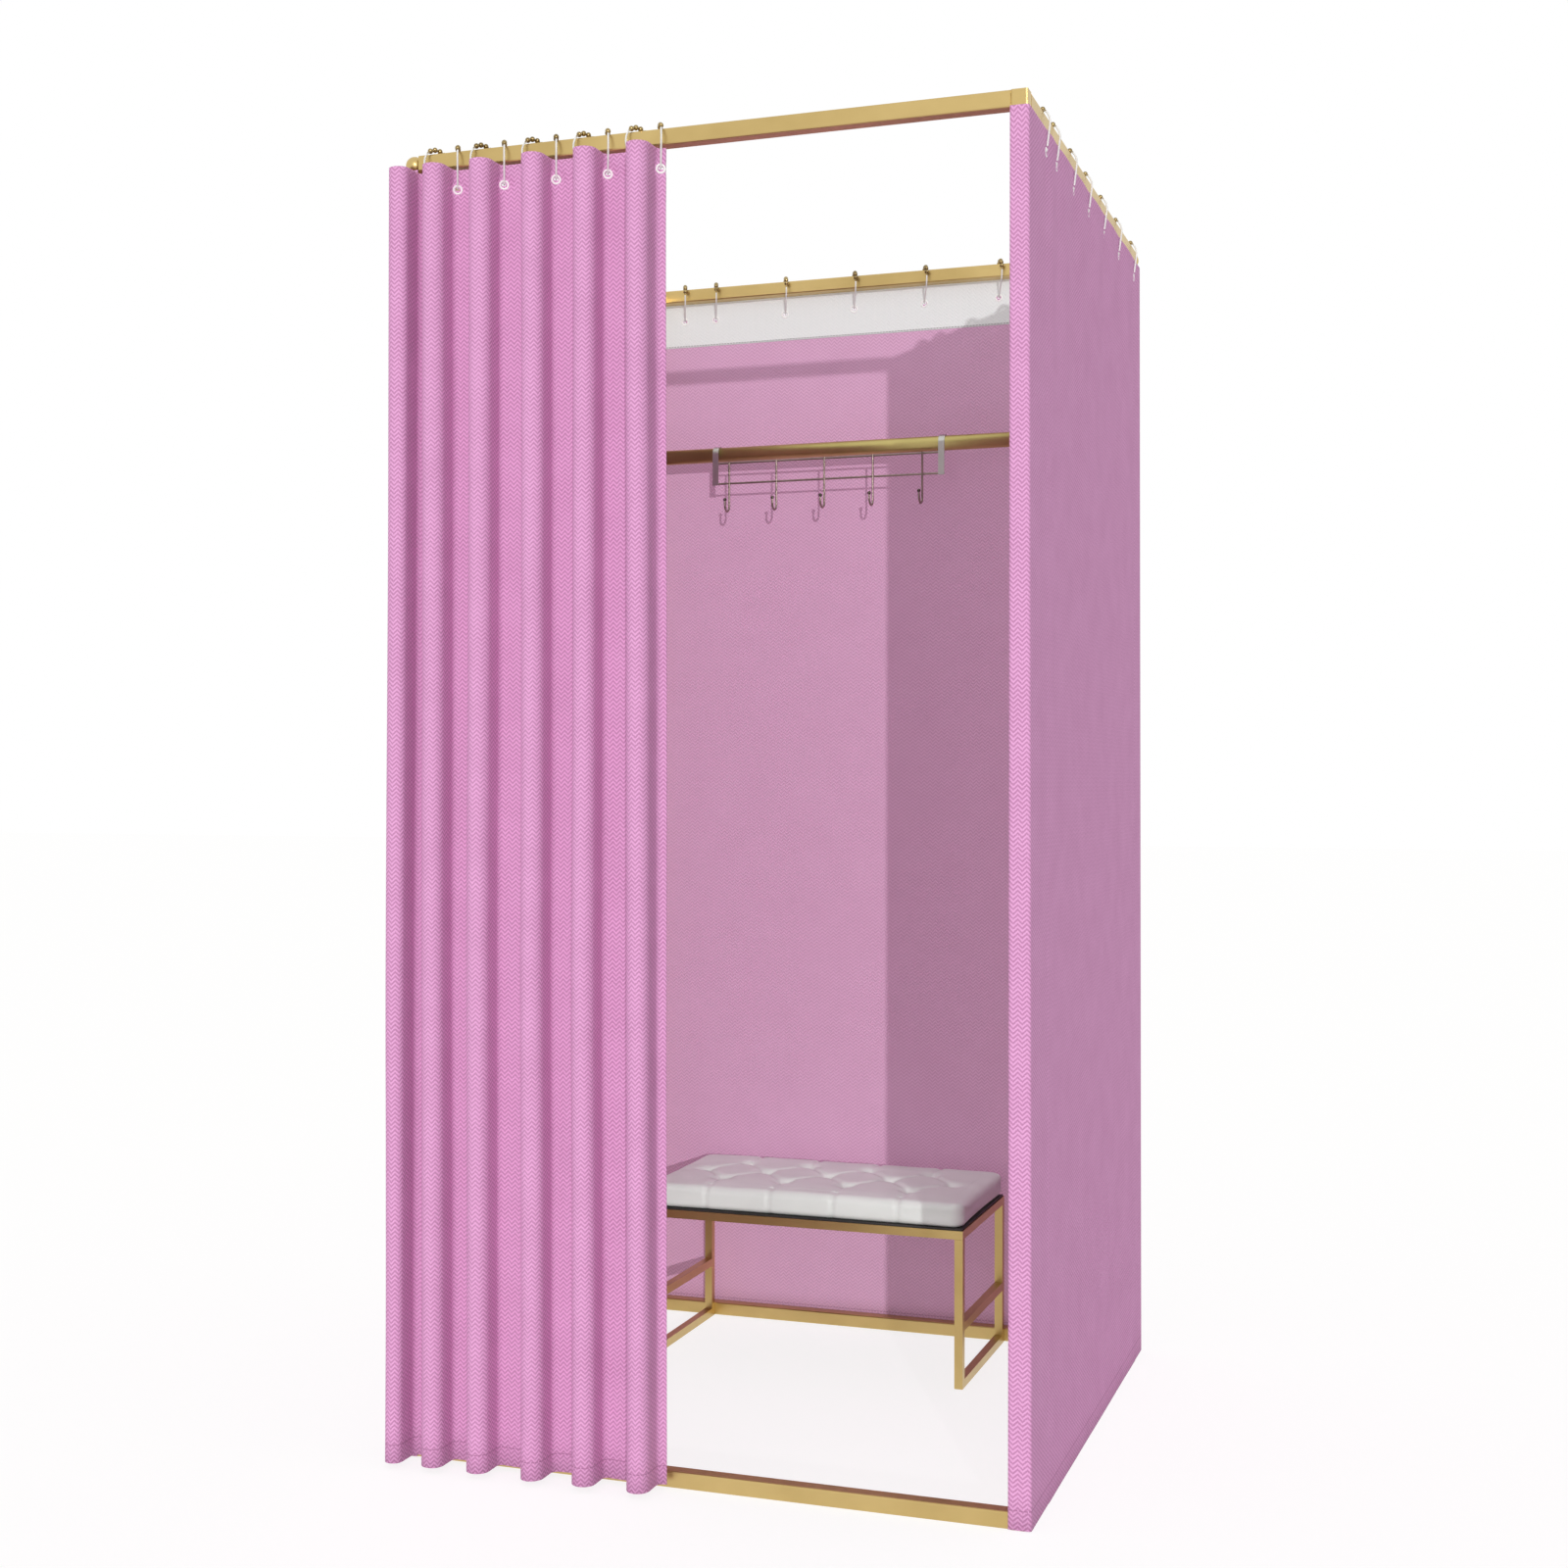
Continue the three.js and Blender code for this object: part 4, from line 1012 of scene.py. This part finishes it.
bm = bmesh.new()
for sign in (-1, 1):
    strap(bm, rack_middle + sign * (rack_high.x - rack_low.x - strap_width) / 2)
straps = set(bm.faces)
for drop in (upper_wire, lower_wire):
    rod(bm, rack_low.x, rack_high.x, wire_line, rail_centre.z - drop, rack_wire / 2)
for index in range(rack_hooks):
    rack_hook(bm, rack_middle + rack_hook_offset + (index - rack_hooks // 2) * rack_pitch)
for face in set(bm.faces) - straps:
    face.material_index = face.material_index or 1
piece("rack", bm, [satin_steel, wire_steel, tip_metal], "rack", ["hook_rack"], sharp=35)
print("rack with", rack_hooks, "hooks")

# %% [markdown]
# ## Tufted cushion
# The cushion is a box with rounded edges whose top swells between sunken tufts. A cloth
# simulation could puff it up, but formulas put each tuft and crease exactly in its place.
# A cube is cut into a fine grid, and squares of points round its corners are drawn in to
# circles, first in plan and then at the top and bottom edges. Then the top takes its crown, the
# tufts pull it down, and creases join each tuft to its neighbours and run down front and back.

# %% Cushion grid
cushion_low, cushion_high = (Vector(c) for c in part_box("bench_cushion"))
cushion_size = cushion_high - cushion_low
cushion_middle = (cushion_low + cushion_high) / 2
crown, corner_round, edge_round, tuft_depth, tuft_spread = 0.005, 0.024, 0.013, 0.0095, 0.016
crease_sink, edge_crease_sink, crease_spread = 0.0032, 0.0024, 0.0055
bulge_depth, waist_depth, pleat_depth, pleat_spread = 0.0022, 0.003, 0.0024, 0.0045
wrinkle_depth, wrinkle_scale, row_gap, row_share = 0.0008, (22, 30, 10), 0.01, 0.46
# Each change begins at this share of the way from the middle to the top, a side or an end.
crown_from, relief_from, wrinkle_from, side_from, end_from = -0.7, 0.3, 0.5, 0.8, 0.9
relief_rise = 0.5
bm = bmesh.new()
bmesh.ops.create_cube(bm, size=1)
for axis, cuts in ((0, 179), (1, 97), (2, 13)):
    edges = [e for e in bm.edges if abs((e.verts[0].co - e.verts[1].co)[axis]) > 1e-4]
    bmesh.ops.subdivide_edges(bm, edges=edges, cuts=cuts, use_grid_fill=True)
print("cushion", len(bm.verts), "points")

# %% Tufts and creases
tuft_step = cushion_size.x / 5
tufts = []
for row, count in ((-1, 4), (0, 5), (1, 4)):
    y = row * row_share * cushion_size.y / 2
    tufts += [Vector(((i - (count - 1) / 2) * tuft_step, y)) for i in range(count)]
edge_tufts = [t for t in tufts if abs(t.y) > row_gap]


def joined(a, b):
    """A crease joins two tufts that are neighbours in rows next to each other."""
    sideways, apart = abs(a.x - b.x), abs(a.y - b.y)
    return row_gap < apart < cushion_size.y * 0.3 and sideways < tuft_step * 0.6


creases = [(a, b) for i, a in enumerate(tufts) for b in tufts[i + 1:] if joined(a, b)]
print(len(tufts), "tufts and", len(creases), "creases between them")


def distance_to(point, a, b):
    way = b - a
    share = min(max((point - a).dot(way) / way.length_squared, 0), 1)
    return (point - a - way * share).length


def hollow(distance, spread):
    """One at a line or a point, fading to nothing over the spread."""
    return math.exp(-((distance / spread) ** 2))


def top_relief(point):
    dip = max(hollow((point - t).length, tuft_spread) for t in tufts)
    crease = max(hollow(distance_to(point, a, b), crease_spread) for a, b in creases)
    outer = 0.0
    for t in edge_tufts:
        end = Vector((t.x, math.copysign(cushion_size.y / 2, t.y)))
        outer = max(outer, hollow(distance_to(point, t, end), crease_spread))
    return tuft_depth * dip + crease_sink * crease + edge_crease_sink * outer


# %% Shape the cushion
half = cushion_size / 2


def to_circle(a, b):
    """Carry a point of a square round the origin to the circle that fits in the square."""
    reach = math.hypot(a, b)
    share = max(abs(a), abs(b)) / reach if reach > 1e-9 else 1
    return a * share, b * share


def rounded(p):
    core = Vector(
        [min(max(p[i], corner_round - half[i]), half[i] - corner_round) for i in range(2)]
    )
    out = Vector(to_circle(p.x - core.x, p.y - core.y))
    over = out.length - (corner_round - edge_round)
    rise = abs(p.z) - (half.z - edge_round)
    if over > 0 and rise > 0:
        over_round, rise_round = to_circle(over, rise)
        out = out.normalized() * (corner_round - edge_round + over_round)
        p.z = math.copysign(half.z - edge_round + rise_round, p.z)
    return Vector((core.x + out.x, core.y + out.y, p.z))


def cushion_point(co):
    p = rounded(Vector([co[i] * cushion_size[i] for i in range(3)]))
    u, v, w = p.x / half.x, p.y / half.y, p.z / half.z
    if w > crown_from:
        rise = min((w - crown_from) / (1 - crown_from), 1.0)
        p.z += (-crown + crown * (1 - abs(u) ** 4) * (1 - abs(v) ** 4)) * rise
        if w > relief_from:
            share = min((w - relief_from) / relief_rise, 1.0)
            p.z -= top_relief(Vector((p.x, p.y))) * share * (1 - abs(u) ** 10)
    bulge = bulge_depth * math.cos(w * math.pi / 2) if abs(w) < 1 else 0.0
    if abs(v) > side_from:
        waist = waist_depth * (1 - min(abs(u), 1) ** 2)
        pleat = min(abs(p.x - t.x) for t in edge_tufts)
        p.y -= math.copysign(waist + pleat_depth * hollow(pleat, pleat_spread) - bulge, v)
    if abs(u) > end_from:
        p.x -= math.copysign(waist_depth * (1 - min(abs(v), 1) ** 2) - bulge, u)
    if w > wrinkle_from:
        p.z += drift(*(p[i] * wrinkle_scale[i] for i in range(3))) * wrinkle_depth
    return p + cushion_middle


for vert in bm.verts:
    vert.co = cushion_point(vert.co)
cushion = piece("cushion", bm, [white_leather], "bench", ["bench_cushion"], sharp=180)
